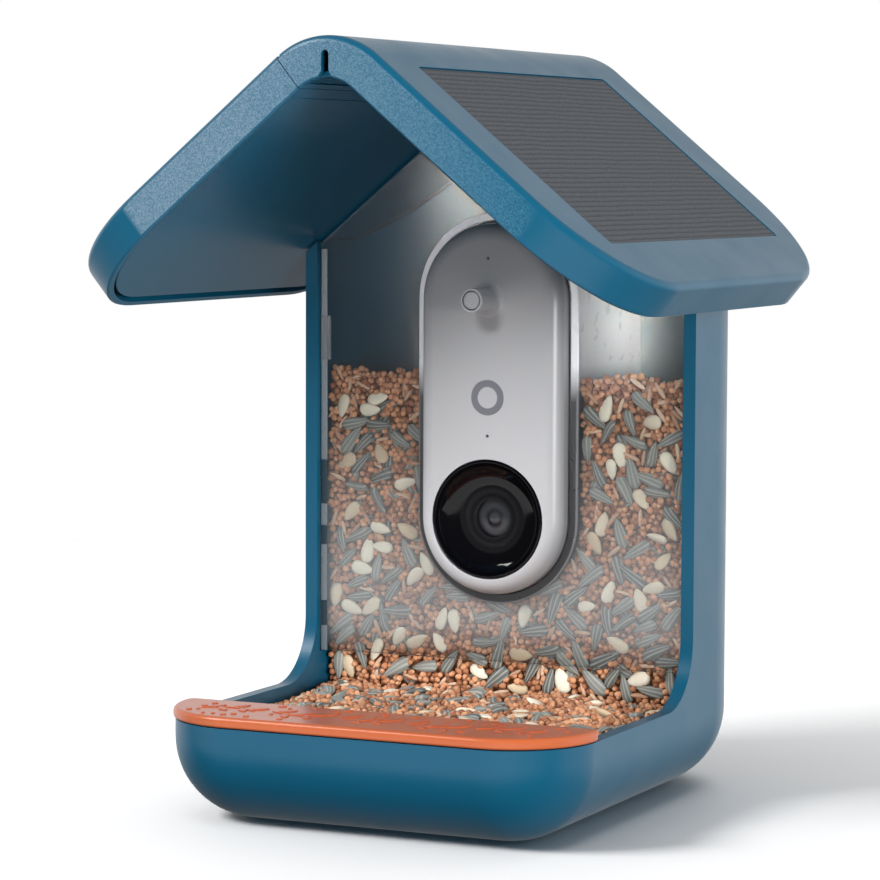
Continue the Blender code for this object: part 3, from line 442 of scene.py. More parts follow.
# Soft boxes mirrored in the window, each from one X to another with its strength
PANES = (
    ("pane_left", -0.656, -0.58, 25),
    ("pane_middle", -0.58, -0.531, 1),
    ("pane_bright", -0.531, -0.496, 38),
)


# Mesh helpers


def new_object(data, name="helper", look=None):
    item = bpy.data.objects.new(name, data)
    bpy.context.scene.collection.objects.link(item)
    if look:
        data.materials.append(look.material)
    return item


def to_mesh(bm, name="helper"):
    mesh = bpy.data.meshes.new(name)
    bm.to_mesh(mesh)
    bm.free()
    return mesh


def solid(bm):
    """Object of closed shells, with their faces turned outward."""
    bmesh.ops.recalc_face_normals(bm, faces=bm.faces)
    if bm.calc_volume(signed=True) < 0:
        bmesh.ops.reverse_faces(bm, faces=bm.faces)
    return new_object(to_mesh(bm))


def merged(parts):
    """Take several objects into one, as they are."""
    bm = bmesh.new()
    for part in parts:
        bm.from_mesh(part.data)
        bpy.data.objects.remove(part)
    return bm


def apply_modifiers(item):
    graph = bpy.context.evaluated_depsgraph_get()
    mesh = bpy.data.meshes.new_from_object(item.evaluated_get(graph))
    item.modifiers.clear()
    item.data = mesh


def combine(target, parts, operation):
    """One exact Boolean of the target with all the parts, which don't touch each other."""
    helper = new_object(to_mesh(merged(parts)))
    modifier = target.modifiers.new("combine", "BOOLEAN")
    modifier.operation = operation
    modifier.solver = "EXACT"
    modifier.object = helper
    apply_modifiers(target)
    bpy.data.objects.remove(helper)


def cut(target, *parts):
    combine(target, parts, "DIFFERENCE")


def join(target, *parts):
    combine(target, parts, "UNION")


def finish(item, name, look, edge=soft_edge, steps=3, crease=50):
    """Give a solid its name, look, soft edges and smooth shading, and move it to the frame."""
    item.name = name
    item.data.materials.append(look.material)
    if edge:
        bevel = item.modifiers.new("soft_edges", "BEVEL")
        bevel.width = edge
        bevel.segments = steps
        bevel.limit_method = "ANGLE"
        bevel.angle_limit = radians(bevel_angle)
        apply_modifiers(item)
    item.data.shade_smooth()
    item.data.set_sharp_from_angle(angle=radians(crease))
    weighted = item.modifiers.new("weighted_normals", "WEIGHTED_NORMAL")
    weighted.keep_sharp = True
    weighted.weight = 100
    apply_modifiers(item)
    item.data.name = name
    item.data.transform(to_frame)


def piece(item, name, look, body, slot, *nodes, **edges):
    """Finish a solid and set it on a body of the frame, in place of the CAD nodes named."""
    finish(item, name, look, **edges)
    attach(item, body)
    if nodes:
        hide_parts(*nodes)
    made.append((item, slot))


def arc_points(centre, radius, start, end, steps=fillet_steps):
    angles = [start + (end - start) * step / steps for step in range(steps + 1)]
    return [(centre[0] + radius * cos(angle), centre[1] + radius * sin(angle)) for angle in angles]


def quarter(radius, steps=fillet_steps):
    """Points of a quarter round from (radius, 0) to (0, radius), hollow toward (radius, radius)."""
    angles = [pi / 2 * step / steps for step in range(steps + 1)]
    return [(radius * (1 - sin(angle)), radius * (1 - cos(angle))) for angle in angles]


def rounded_rectangle(low, high, radius):
    centres = ((high[0] - radius, high[1] - radius), (low[0] + radius, high[1] - radius),
               (low[0] + radius, low[1] + radius), (high[0] - radius, low[1] + radius))
    outline = []
    for turn, centre in enumerate(centres):
        outline += arc_points(centre, radius, turn * pi / 2, (turn + 1) * pi / 2)
    return outline


def loft(bm, loops, ring=False):
    rings = [[bm.verts.new(point) for point in loop] for loop in loops]
    pairs = list(zip(rings, rings[1:]))
    if ring:
        pairs.append((rings[-1], rings[0]))
    for low, high in pairs:
        for index in range(len(low)):
            after = (index + 1) % len(low)
            bm.faces.new((low[index], low[after], high[after], high[index]))
    if not ring:
        bm.faces.new(rings[0])
        bm.faces.new(rings[-1])


def lofted(loops, ring=False):
    bm = bmesh.new()
    loft(bm, loops, ring)
    return solid(bm)


def box(low, high):
    bm = bmesh.new()
    bmesh.ops.create_cube(bm, size=1.0)
    low, high = Vector(low), Vector(high)
    size, centre = high - low, (high + low) / 2
    for vert in bm.verts:
        vert.co = Vector([centre[i] + vert.co[i] * size[i] for i in range(3)])
    return solid(bm)


def prism(outline, axis, start, end):
    place = "XYZ".index(axis)
    return lofted([[(*point[:place], level, *point[place:]) for point in outline] for level in (start, end)])


def turned(profile, axis, centre, steps=round_steps, ring=False):
    """Turn a profile of (radius, place along the axis) round an axis through the centre."""
    place = "XYZ".index(axis)
    start = pi / steps
    loops = []
    for radius, level in profile:
        points = arc_points(centre, radius, start, start + 2 * pi, steps)[:-1]
        loops.append([(*point[:place], level, *point[place:]) for point in points])
    return lofted(loops, ring)


def rod(radius, axis, centre, start, end, steps=round_steps // 2):
    return turned([(radius, start), (radius, end)], axis, centre, steps)


def rods(radius, axis, centres, start, end):
    return [rod(radius, axis, centre, start, end) for centre in centres]


def plan_loop(inset, z, half_width, front, back, front_radius, rear_radius):
    """Rounded rectangle seen from above, drawn in by the inset."""
    corners = ((1, front + inset, 1, front_radius, -pi / 2), (1, back - inset, -1, rear_radius, 0),
               (-1, back - inset, -1, rear_radius, pi / 2), (-1, front + inset, 1, front_radius, pi))
    loop = []
    for side, edge, inward, radius, start in corners:
        radius = max(radius - inset, clearance)
        centre = (side * (half_width - inset - radius), edge + inward * radius)
        loop += [(x, y, z) for x, y in arc_points(centre, radius, start, start + pi / 2, corner_steps)]
    return loop


def tub(offset, top):
    """The housing's outer form, or its hollow when offset by the wall."""
    size = (body_half_width - offset, tray_front + offset, body_back - offset,
            front_corner_radius - offset, rear_corner_radius - offset)
    rounds = quarter(base_radius - offset, corner_steps)
    loops = [plan_loop(inset, offset + rise, *size) for inset, rise in rounds]
    return lofted(loops + [plan_loop(0, top, *size)])


def stadium(levels, ring=False):
    """Loft of upright slot shapes, each given as (half width, y)."""
    loops = []
    for half_width, y in levels:
        points = arc_points((0, stadium_high_z), half_width, 0, pi, stadium_steps)
        points += arc_points((0, stadium_low_z), half_width, pi, 2 * pi, stadium_steps)
        loops.append([(x, y, z) for x, z in points])
    return lofted(loops, ring)


def roof_point(u, v, w):
    """Map a flat roof sheet onto the roof: u runs over the ridge, v along Y, w inward from the outside."""
    reach = abs(u)
    angle = min(reach / ridge_radius, roof_pitch)
    beyond = max(reach - ridge_arc, 0)
    x = (ridge_radius - w) * sin(angle) + beyond * cos(roof_pitch)
    z = ridge_centre_z + (ridge_radius - w) * cos(angle) - beyond * sin(roof_pitch)
    return Vector((copysign(x, u), v, z))


def roof_sheet(levels, side, shift=0.0):
    """Loft roof outlines given as (near, far, margin, corner radius, w), then bend them over the ridge."""
    bm = bmesh.new()
    loops = []
    for near, far, margin, radius, w in levels:
        front, back = margin, roof_depth - margin
        plan = [(near, front)]
        plan += arc_points((far - radius, front + radius), radius, -pi / 2, 0, corner_steps)
        plan += arc_points((far - radius, back - radius), radius, 0, pi / 2, corner_steps)
        plan.append((near, back))
        loops.append([(side * u, v, w) for u, v in plan])
    loft(bm, loops)
    for step in range(-ridge_steps // 2, ridge_steps // 2 + 1):
        line = (ridge_arc * 2 * (step + shift) / ridge_steps, 0, 0)
        whole = bm.verts[:] + bm.edges[:] + bm.faces[:]
        bmesh.ops.bisect_plane(bm, geom=whole, plane_co=line, plane_no=(1, 0, 0), dist=clearance / 100)
    for vert in bm.verts:
        vert.co = roof_point(*vert.co)
    return solid(bm)


def inner_levels(near, margin, eave_margin, start, end):
    return [(near, eave - eave_margin, margin, roof_corner_radius - eave_margin, w) for w in (start, end)]


def hollow_sheet(near, side, shift=0.0):
    """The sheet of one slope with its top fillet, hollowed out from below."""
    rounds = quarter(roof_top_fillet)
    rounds += [(0, roof_thickness - roof_low_fillet), (roof_low_fillet, roof_thickness)]
    outer = [(near, eave - inset, inset, roof_corner_radius - inset, w) for inset, w in rounds]
    inner = inner_levels(near + seam_wall, roof_skirt, roof_skirt, roof_skin, roof_thickness + overrun)
    sheet = roof_sheet(outer, side)
    cut(sheet, roof_sheet(inner, side, shift))
    return sheet


def liner_sheet(near, side):
    """The flat panel that closes the underside of one slope."""
    near = near + seam_wall + clearance
    margin, eave_margin = roof_skirt + clearance, roof_skirt + liner_eave_gap
    return roof_sheet(inner_levels(near, margin, eave_margin, liner_low - liner_thickness, liner_low), side)


def underside_outline(level, reach):
    """Outline across the roof, in X and Z, of everything above a level under the outer surface."""
    crown = [ridge_arc * (2 * step / ridge_steps - 1) for step in range(ridge_steps + 1)]
    points = [roof_point(u, 0, level) for u in (-eave - reach, *crown, eave + reach)]
    outline = [(point.x, point.z) for point in points]
    top = total_height + reach
    return outline + [(outline[-1][0], top), (outline[0][0], top)]


# Roof


def knuckle_spans():
    length = roof_knuckle_length
    starts = (end_knuckle_margin, (roof_depth - length) / 2, roof_depth - end_knuckle_margin - length)
    roof = [(start, start + length) for start in starts]
    lid = [(low[1] + clearance, high[0] - clearance) for low, high in zip(roof, roof[1:])]
    return roof, lid


def hinge_rods(spans, radius):
    return [rod(radius, "Y", (hinge_x, hinge_z), start - clearance, end + clearance) for start, end in spans]


def hinge_point(along, above):
    """Place in X and Z, measured from the hinge axis up the left slope and outward from it."""
    x = hinge_x + along * cos(roof_pitch) - above * sin(roof_pitch)
    z = hinge_z + along * sin(roof_pitch) + above * cos(roof_pitch)
    return x, z


def add_knuckles(sheet, own, others):
    """Give a sheet its own knuckles, room for those of the other sheet, and the bore for the pin."""
    cut(sheet, *hinge_rods(others, knuckle_radius + clearance))
    start = asin((hinge_depth - knuckle_sink) / knuckle_radius)
    outline = arc_points((0, 0), knuckle_radius, pi - start, 2 * pi + start, round_steps // 2)
    outline = [hinge_point(*point) for point in outline]
    join(sheet, *[prism(outline, "Y", near, far) for near, far in own])
    cut(sheet, *hinge_rods([(end_knuckle_margin, roof_depth - end_knuckle_margin)], pin_bore_radius))


def cut_hinge_relief(shell):
    """Step along the seam that the lid's edge turns into."""
    side, floor = hinge_depth - relief_side_depth, hinge_depth - relief_depth
    outline = [(-overrun, overrun), (relief_width, overrun), (relief_width, side), (relief_floor, floor),
               (-overrun, floor)]
    cut(shell, prism([hinge_point(*point) for point in outline], "Y", -overrun, roof_depth + overrun))


def cut_notch(shell):
    """Hanging notch in the front skirt: a slot with a round top that flares at the underside."""
    half, wide = notch_width / 2, notch_mouth_width / 2
    top = total_height - notch_drop - half
    low = top - notch_straight
    mouth = low - notch_mouth_height
    bottom = mouth - overrun
    outline = arc_points((0, top), half, 0, pi, corner_steps)
    outline += [(-half, low), (-wide, mouth), (-wide, bottom), (wide, bottom), (wide, mouth), (half, low)]
    cut(shell, prism(outline, "Y", -overrun, roof_skirt + clearance))


def solar_slab(shrink, start, end):
    """Slab in the right slope: the recess, or the panel when shrunk."""
    near = ridge_arc + solar_top_margin + shrink
    far = ridge_arc + solar_top_margin + solar_length - shrink
    front, back = solar_front_margin + shrink, roof_depth - solar_rear_margin - shrink
    plan = rounded_rectangle((near, front), (far, back), solar_corner_radius)
    return lofted([[roof_point(u, v, w) for u, v in plan] for w in (start, end)])


def add_tongue(shell):
    """Tongue that reaches down inside the back wall, with its two screw holes."""
    middle = roof_skin / 2
    low = total_height - tongue_drop
    far = ridge_arc + (tongue_right - roof_point(ridge_arc, 0, middle).x) / cos(roof_pitch)
    near = asin(tongue_left / (ridge_radius - middle)) * ridge_radius
    crown = [near + (far - near) * step / ridge_steps for step in range(ridge_steps + 1)]
    points = [roof_point(u, 0, middle) for u in crown]
    outline = [(tongue_left, low)] + [(point.x, point.z) for point in points] + [(tongue_right, low)]
    join(shell, prism(outline, "Y", tongue_front, tongue_back))
    cut(shell, *rods(roof_screw_hole, "Y", roof_screw_places, tongue_front - overrun, tongue_back + overrun))


def make_roof(blue):
    roof_spans, lid_spans = knuckle_spans()
    shell = hollow_sheet(roof_near, 1, 0.5)
    cut_hinge_relief(shell)
    add_knuckles(shell, roof_spans, lid_spans)
    cut_notch(shell)
    cut(shell, solar_slab(0, -overrun, solar_recess))
    add_tongue(shell)
    piece(shell, "roof", blue, "base", "blue_plastic", "roof_shell")
    lid = hollow_sheet(lid_near, -1)
    add_knuckles(lid, lid_spans, roof_spans)
    piece(lid, "lid", blue, "lid", "blue_plastic", "lid_shell")


def make_undersides(blue):
    liner = liner_sheet(roof_near, 1)
    cut(liner, box((tongue_left - clearance, tongue_front - clearance, total_height - tongue_drop),
                   (tongue_right + clearance, roof_depth + overrun, total_height)))
    piece(liner, "roof_underside", blue, "base", "navy_plastic", "roof_liner")
    piece(liner_sheet(lid_near, -1), "lid_underside", blue, "lid", "navy_plastic", "lid_liner")


def make_solar_panel(cells):
    floor = solar_recess - clearance
    panel = solar_slab(clearance, floor - solar_thickness, floor)
    piece(panel, "solar_cells", cells, "base", "solar_cell", "solar_panel")


# Housing, window and sleeve


def front_opening(top):
    """Everything before the walls' front edges and above the tray's rim, with a sweep between the two."""
    centre = (wall_front - sweep_radius, rim_height + sweep_radius)
    profile = [(-overrun, rim_height)] + arc_points(centre, sweep_radius, -pi / 2, 0, corner_steps)
    profile += [(wall_front, top + overrun), (-overrun, top + overrun)]
    reach = body_half_width + overrun
    return prism(profile, "X", -reach, reach)


def groove(side, top):
    """Slot in a side wall that holds the window's edge."""
    ends = sorted((side * (inner_half_width - overrun), side * (inner_half_width + groove_depth)))
    return box((ends[0], window_front - clearance, window_bottom - clearance),
               (ends[1], window_back + clearance, top))


def housing_holes(base_place, rear_place, behind):
    """Bores for the inserts, drain holes in the tray, and the opening behind the charging port."""
    drains = [(column * drain_pitch, wall_front - setback)
              for setback in drain_row_setbacks for column in (-1, 0, 1)]
    access = rounded_rectangle((-access_half_width, port_z - access_half_height),
                               (access_half_width, port_z + access_half_height), access_corner_radius)
    return [rod(insert_bore_radius, "Z", base_place, -overrun, insert_bore_depth),
            rod(insert_bore_radius, "Y", rear_place, body_back - insert_bore_depth, behind),
            *rods(drain_radius, "Z", drains, -overrun, wall + overrun),
            prism(access, "Y", inner_back - overrun, behind)]


def make_housing(blue):
    top, behind = total_height + overrun, body_back + overrun
    housing = tub(0, top)
    cut(housing, tub(wall, top + overrun))
    cut(housing, front_opening(top))
    cut(housing, prism(underside_outline(seat_level, overrun), "Y", -overrun, roof_depth + overrun))
    base_place = (0, body_back - base_insert_inset)
    rear_place = (0, rear_insert_height_share * total_height)
    join(housing, rod(boss_radius, "Z", base_place, wall / 2, boss_length),
         rod(boss_radius, "Y", rear_place, body_back - boss_length, body_back - wall / 2))
    cut(housing, groove(-1, top), groove(1, top))
    cut(housing, *housing_holes(base_place, rear_place, behind))
    cut(housing, *rods(roof_screw_hole, "Y", roof_screw_places, inner_back - overrun, behind))
    cut(housing, *rods(roof_screw_sink, "Y", roof_screw_places, body_back - roof_screw_sink_depth, behind))
    piece(housing, "body", blue, "base", "blue_plastic", "housing", edge=housing_edge)


def window_outline():
    level = seat_level + clearance
    half = window_edge + groove_depth
    start = roof_point(ridge_arc, 0, level)
    side_z = start.z - (half - start.x) * tan(roof_pitch)
    top = [point for point in underside_outline(level, 0)[:-2] if abs(point[0]) < half]
    return [(-half, window_bottom), (-half, side_z)] + top + [(half, side_z), (half, window_bottom)], side_z


def strips(side, width, height, spans):
    """Thin strips on the window's front at one side, each over a span of heights."""
    ends = sorted((side * window_edge, side * (window_edge - width)))
    parts = [box((ends[0], window_front - height, low), (ends[1], window_face, high)) for low, high in spans]
    return solid(merged(parts))


def make_window(clear, milky, pale, dark):
    outline, side_z = window_outline()
    window = prism(outline, "Y", window_front, window_back)
    hole = sleeve_outer + clearance
    cut(window, stadium([(hole, window_front - overrun), (hole, window_back + overrun)]))
    piece(window, "front_window", clear, "base", "clear_plastic", "hopper_window",
          edge=thin_edge, steps=2, crease=12)
    low_z = side_z - tab_drop
    tab = box((-window_edge, window_front - tab_thickness, low_z),
              (-window_edge + tab_width, window_face, low_z + tab_height))
    piece(tab, "window_tab", milky, "base", "clear_plastic", edge=thin_edge)
    stops = [window_bottom, *[level for span in window_clips for level in span], side_z - bead_drop]
    gaps = list(zip(stops[::2], stops[1::2]))
    for side, label, bead_width, clip_width in zip((-1, 1), ("left", "right"), bead_widths, clip_widths):
        bead = strips(side, bead_width, bead_height, gaps)
        piece(bead, "window_bead_" + label, pale, "base", "clear_plastic", edge=fine_edge)
        clips = strips(side, clip_width, clip_height, window_clips)
        piece(clips, "window_clips_" + label, dark, "base", "navy_plastic", edge=fine_edge)


def make_sleeve(clear):
    flange_back = flange_front + flange_thickness
    levels = [(sleeve_inner, flange_front)]
    levels += [(flange_half_width - inset, flange_front + back) for inset, back in quarter(flange_fillet)]
    levels += [(flange_half_width, flange_back), (sleeve_outer, flange_back), (sleeve_outer, sleeve_back),
               (sleeve_inner, sleeve_back)]
    sleeve = stadium(levels, ring=True)
    piece(sleeve, "module_sleeve", clear, "base", "clear_plastic", "camera_sleeve", edge=0)


# Perch


def make_perch(orange):
    size = (body_half_width + perch_overhang, tray_front - perch_overhang, perch_rear,
            front_corner_radius + perch_overhang, perch_rear_corner_radius)
    levels = [(inset, perch_low_z + rise) for inset, rise in quarter(perch_low_round)]
    levels += [(inset, perch_top_z - fall) for fall, inset in quarter(perch_top_round)]
    perch = lofted([plan_loop(inset, z, *size) for inset, z in levels])
    inner = tray_front + wall + clearance
    half = perch_clip_width / 2
    join(perch, *[box((middle - half, inner, perch_low_z - perch_clip_drop),
                      (middle + half, inner + perch_clip_thickness, perch_low_z + perch_thickness / 2))
                  for middle in (-perch_clip_x, perch_clip_x)])
    piece(perch, "perch_board", orange, "perch", "orange_plastic", "perch")


def leaf_outline(x, y, turn, length):
    """Pointed leaf made of two arcs, from its stalk end at a place on the board."""
    points = []
    for side in (1, -1):
        for step in range(leaf_steps):
            along = step / leaf_steps if side > 0 else 1 - step / leaf_steps
            across = side * leaf_half_width * sin(pi * along) * (1 - leaf_taper * along)
            points.append((x + length * along * cos(turn) - across * sin(turn),
                           y + length * along * sin(turn) + across * cos(turn)))
    return points


def stem_outline(points):
    """Thin band along a row of points."""
    left, right = [], []
    for index, (x, y) in enumerate(points):
        before, after = points[max(index - 1, 0)], points[min(index + 1, len(points) - 1)]
        turn = atan2(after[1] - before[1], after[0] - before[0])
        left.append((x - stem_half_width * sin(turn), y + stem_half_width * cos(turn)))
        right.append((x + stem_half_width * sin(turn), y - stem_half_width * cos(turn)))
    return left + right[::-1]


def on_perch(x, y):
    """Whether a place is on the flat of the board, clear of its rounded edge."""
    inset = relief_margin - perch_overhang
    half, front = body_half_width - inset, tray_front + inset
    radius = front_corner_radius - inset
    if not (abs(x) < half and front < y < perch_rear - relief_margin):
        return False
    dx, dy = abs(x) - (half - radius), (front + radius) - y
    return dx < 0 or dy < 0 or hypot(dx, dy) < radius


def sprig(dice, start):
    """A wavy stem with leaves on alternate sides."""
    y0 = sprig_y + dice.uniform(-2, 2) * MM
    bend = dice.choice((-1, 1)) * sprig_sway
    stem = [(start + step * sprig_step, y0 + bend * sin(step / 10 * pi)) for step in range(11)]
    outlines = [stem_outline(stem)]
    for step, side in ((1, 1), (3, -1), (5, 1), (7, -1), (9, 1)):
        x, y = stem[step]
        turn = side * radians(dice.uniform(42, 62))
        outlines.append(leaf_outline(x, y + side * leaf_stalk, turn, dice.uniform(5, 6.5) * MM))
    return outlines


def make_relief(orange):
    """Raised sprigs with leaves and berries on top of the perch."""
    dice = random.Random(21)
    outlines = []
    for start in sprig_starts:
        outlines += sprig(dice, start)
    for _ in range(berry_tries):
        x, y = dice.uniform(-62, 62) * MM, dice.uniform(16, 39) * MM
        radius = dice.choice(berry_radii)
        near = min(dist((x, y), point) for outline in outlines for point in outline)
        if near > radius + berry_room:
            outlines.append(arc_points((x, y), radius, 0, 2 * pi, berry_steps)[:-1])
    kept = [outline for outline in outlines if all(on_perch(*point) for point in outline)]
    relief = solid(merged([prism(outline, "Z", perch_top_z - relief_rise, perch_top_z + relief_rise)
                           for outline in kept]))
    piece(relief, "perch_relief", orange, "perch", "orange_plastic", edge=fine_edge, steps=2)


# Camera module


def button_boss_profile():
    """Rounded tip, straight shank and a flare that runs out into the front face."""
    edge, flare = button_boss_edge, button_flare
    tip = (button_boss_radius - edge, boss_tip_y + edge)
    foot = (button_boss_radius + flare, camera_front_y - flare + button_flare_sink)
    profile = arc_points(tip, edge, -pi / 2, 0) + arc_points(foot, flare, pi, pi / 2, 2 * fillet_steps)
    return profile + [(button_boss_radius + flare, camera_front_y + camera_face / 2)]


def make_module_front(light):
    levels = [(camera_half_width - inset, camera_front_y + back)
              for inset, back in quarter(camera_edge_radius, corner_steps)]
    inner_round = camera_edge_radius - camera_wall
    levels += [(camera_half_width, camera_parting_y), (module_inner, camera_parting_y),
               (module_inner, camera_inner_face_y + inner_round),
               (module_inner - inner_round, camera_inner_face_y)]
    front = stadium(levels)
    before, behind = camera_front_y - overrun, camera_parting_y + overrun
    join(front, turned(button_boss_profile(), "Y", (0, button_z)))
    pinholes = [(0, microphone_z), (0, stadium_high_z + led_rise)]
    cut(front, *rods(pinhole_radius, "Y", pinholes, before, camera_inner_face_y + clearance),
        rod(button_bore_radius, "Y", (0, button_z), boss_tip_y - overrun, behind, round_steps),
        rod(dish_radius + dish_fit, "Y", (0, stadium_low_z), before, behind, 2 * round_steps))
    piece(front, "module_front", light, "camera", "light_plastic", "camera_front", edge=module_edge)


def screw_tube(place, end):
    """Tube inside the rear shell that a screw is driven into."""
    seat = rear_shell_front_y + camera_seat_wall
    radius = camera_screw_sink + camera_wall / 2
    profile = [(camera_screw_sink, seat), (camera_screw_sink, end), (radius, end), (radius, seat)]
    return turned(profile, "Y", place, round_steps // 2, ring=True)


def flap_lug(side):
    near = flap_half_width + clearance
    ends = sorted((side * near, side * (near + lug_width)))
    return box((ends[0], camera_rear_y - camera_wall / 2, flap_hinge_z - lug_half_height),
               (ends[1], flap_y + flap_thickness, flap_hinge_z + lug_half_height))


def make_module_rear(dark):
    inner_back_y, behind = camera_rear_y - camera_wall, camera_rear_y + overrun
    levels = [(module_inner, inner_back_y), (module_inner, rear_shell_front_y),
              (camera_half_width, rear_shell_front_y)]
    levels += [(camera_half_width - inset, camera_rear_y - back)
               for back, inset in quarter(camera_rear_radius)]
    rear = stadium(levels)
    run = stadium_high_z - stadium_low_z
    screws = [(side * camera_screw_x, stadium_low_z + share * run)
              for share in camera_screw_shares for side in (-1, 1)]
    wide, tall = port_half_width + clearance, port_half_height + clearance
    cut(rear, box((-wide, inner_back_y - overrun, port_z - tall), (wide, behind, port_z + tall)),
        *rods(camera_screw_sink, "Y", screws, inner_back_y - overrun, behind))
    join(rear, flap_lug(-1), flap_lug(1))
    join(rear, *[screw_tube(place, inner_back_y + clearance) for place in screws])
    piece(rear, "module_rear", dark, "camera", "dark_plastic", "camera_rear", edge=thin_edge)


def make_badge(grey):
    """Plain flat ring with an empty middle."""
    low, high = camera_front_y + clearance / 10, camera_front_y - badge_height
    inner = badge_inner_radius
    profile = [(badge_radius, low), (badge_radius, high), (inner, high), (inner, low)]
    ring = turned(profile, "Y", (0, badge_z), ring=True)
    piece(ring, "badge_ring", grey, "camera", "grey_plastic", edge=0)


def make_button(light):
    """Cap with a shallow step in its end face, a collar behind the shell and a stem."""
    collar = camera_inner_face_y + clearance
    back = collar + button_collar
    rim, tip, outer = button_rim, boss_tip_y, button_radius
    wide, stem = button_collar_radius, button_stem_radius
    profile = [(outer - rim, tip + rim / 2), (outer - 0.8 * rim, tip), (outer - rim / 2, tip),
               (outer, tip + rim / 2), (outer, collar), (wide, collar), (wide, back), (stem, back),
               (stem, button_stem_end)]
    cap = turned(profile, "Y", (0, button_z))
    piece(cap, "button_cap", light, "button", "light_plastic", "power_button", edge=0)


def lens_front(radius, front):
    """A small dome in the middle of the cover glass, then flat rings, each a step lower."""
    inner = radius * lens_dome_share
    level = front + lens_dome_rise
    profile = [(inner * sin(angle), front + lens_dome_rise * (1 - cos(angle))) for angle in lens_dome_angles]
    for share in lens_ring_shares:
        profile += [(inner + lens_step, level + lens_step), (radius * share, level + lens_step)]
        inner = radius * share
        level += lens_step / 3
    return profile


def make_lens(gloss, glass):
    """Concave dish with a stepped floor, and the domed cover glass in its bore."""
    floor = camera_front_y + dish_depth
    lip = dish_radius - dish_lip
    profile = [(dish_radius, camera_front_y + clearance),
               (dish_radius - clearance / 2, camera_front_y + dish_rim_fall),
               (dish_radius - clearance, camera_front_y)]
    profile += [(lip - (lip - dish_flat_radius) * across, floor - dish_depth * short)
                for short, across in quarter(1, corner_steps)]
    profile += [(dish_step_radius, floor), (dish_step_radius, floor + dish_step),
                (dish_bore_radius, floor + dish_step), (dish_bore_radius, dish_back_y),
                (dish_radius, dish_back_y)]
    dish = turned(profile, "Y", (0, stadium_low_z), 2 * round_steps, ring=True)
    piece(dish, "lens_surround", gloss, "camera", "gloss_black", "lens_dish", edge=fine_edge)
    radius = dish_bore_radius - clearance
    cover = turned(lens_front(radius, dish_back_y - glass_thickness) + [(radius, dish_back_y)], "Y",
                   (0, stadium_low_z))
    piece(cover, "cover_glass", glass, "camera", "lens_glass", "lens_glass", edge=0)


# Materials


class Graph:
    """A node tree that nodes are added to. Each method returns output sockets."""

    def __init__(self, tree):
        self.nodes, self.links = tree.nodes, tree.links

    def feed(self, socket, value):
        """Link a socket to another one, or set its value."""
        if isinstance(value, bpy.types.NodeSocket):
            self.links.new(value, socket)
        else:
            socket.default_value = (*value, 1) if socket.type == "RGBA" else value

    def new(self, kind, inputs, **settings):
        node = self.nodes.new("ShaderNode" + kind)
        for label, value in settings.items():
            setattr(node, label, value)
        for label, value in inputs.items():
            self.feed(node.inputs[label], value)
        return node.outputs

    def scaled(self, source, low, high, start=0.0, end=1.0):
        """The source's range from start to end, mapped to low and high and clamped."""
        return self.new("MapRange", dict(enumerate((source, start, end, low, high))))[0]

    def math(self, operation, first, second=0):
        return self.new("Math", {0: first, 1: second}, operation=operation)[0]

    def times(self, first, second):
        return self.math("MULTIPLY", first, second)

    def plus(self, first, second):
        return self.math("ADD", first, second)

    def split(self, source):
        return self.new("SeparateXYZ", {0: source})


class Material(Graph):
    """A Principled material with a few procedural layers in object coordinates."""

    def __init__(self, name, colour, roughness, **sockets):
        self.material = bpy.data.materials.new(name)
        self.material.use_nodes = True
        super().__init__(self.material.node_tree)
        self.shader = self.nodes["Principled BSDF"]
        self.colour, self.normal = colour, None
        for label, value in {"Base_Color": colour, "Roughness": roughness, **sockets}.items():
            self.feed(self.shader.inputs[label.replace("_", " ")], value)
        self.place = self.new("TexCoord", {})

    def noise(self, scale, detail=2.0, stretch=None):
        """Noise of the given scale per metre, between 0 and 1."""
        source = self.place["Object"]
        if stretch:
            source = self.new("Mapping", {"Vector": source, "Scale": stretch})[0]
        return self.new("TexNoise", {"Vector": source, "Scale": scale, "Detail": detail})["Fac"]

    def mix(self, factor, first, second):
        """Colour between two colours, each a triple or a socket."""
        return self.new("Mix", {0: factor, 6: first, 7: second}, data_type="RGBA")[2]

    def paint(self, source):
        self.links.new(source, self.shader.inputs["Base Color"])
        return self

    def mottle(self, scale, amount=0.08):
        """Slight lighter and darker clouds in the colour."""
        low, high = [tuple(value * share for value in self.colour) for share in (1 - amount, 1 + amount)]
        return self.paint(self.mix(self.noise(scale, 3), low, high))

    def rub(self, scale, low, high):
        """Roughness that wanders between two values."""
        self.feed(self.shader.inputs["Roughness"], self.scaled(self.noise(scale, 3), low, high, 0.3, 0.7))
        return self

    def bump(self, height, distance):
        """Add a bump layer on top of those before it."""
        inputs = {"Distance": distance, "Height": height}
        if self.normal:
            inputs["Normal"] = self.normal
        self.normal = self.new("Bump", inputs)[0]
        self.links.new(self.normal, self.shader.inputs["Normal"])
        return self

    def blend(self, factor, first, second):
        return self.new("MixShader", {0: factor, 1: first, 2: second})[0]

    def distance(self, x, z):
        return self.math("SQRT", self.plus(self.times(x, x), self.times(z, z)))

    def seed(self):
        """Place along a seed, place across it and a random number of its own."""
        return self.split(self.new("Attribute", {}, attribute_name="seed")["Vector"])


def body_blue():
    return Material("body_blue", BLUE, 0.33, IOR=1.47).mottle(30, 0.04).rub(60, 0.3, 0.36)


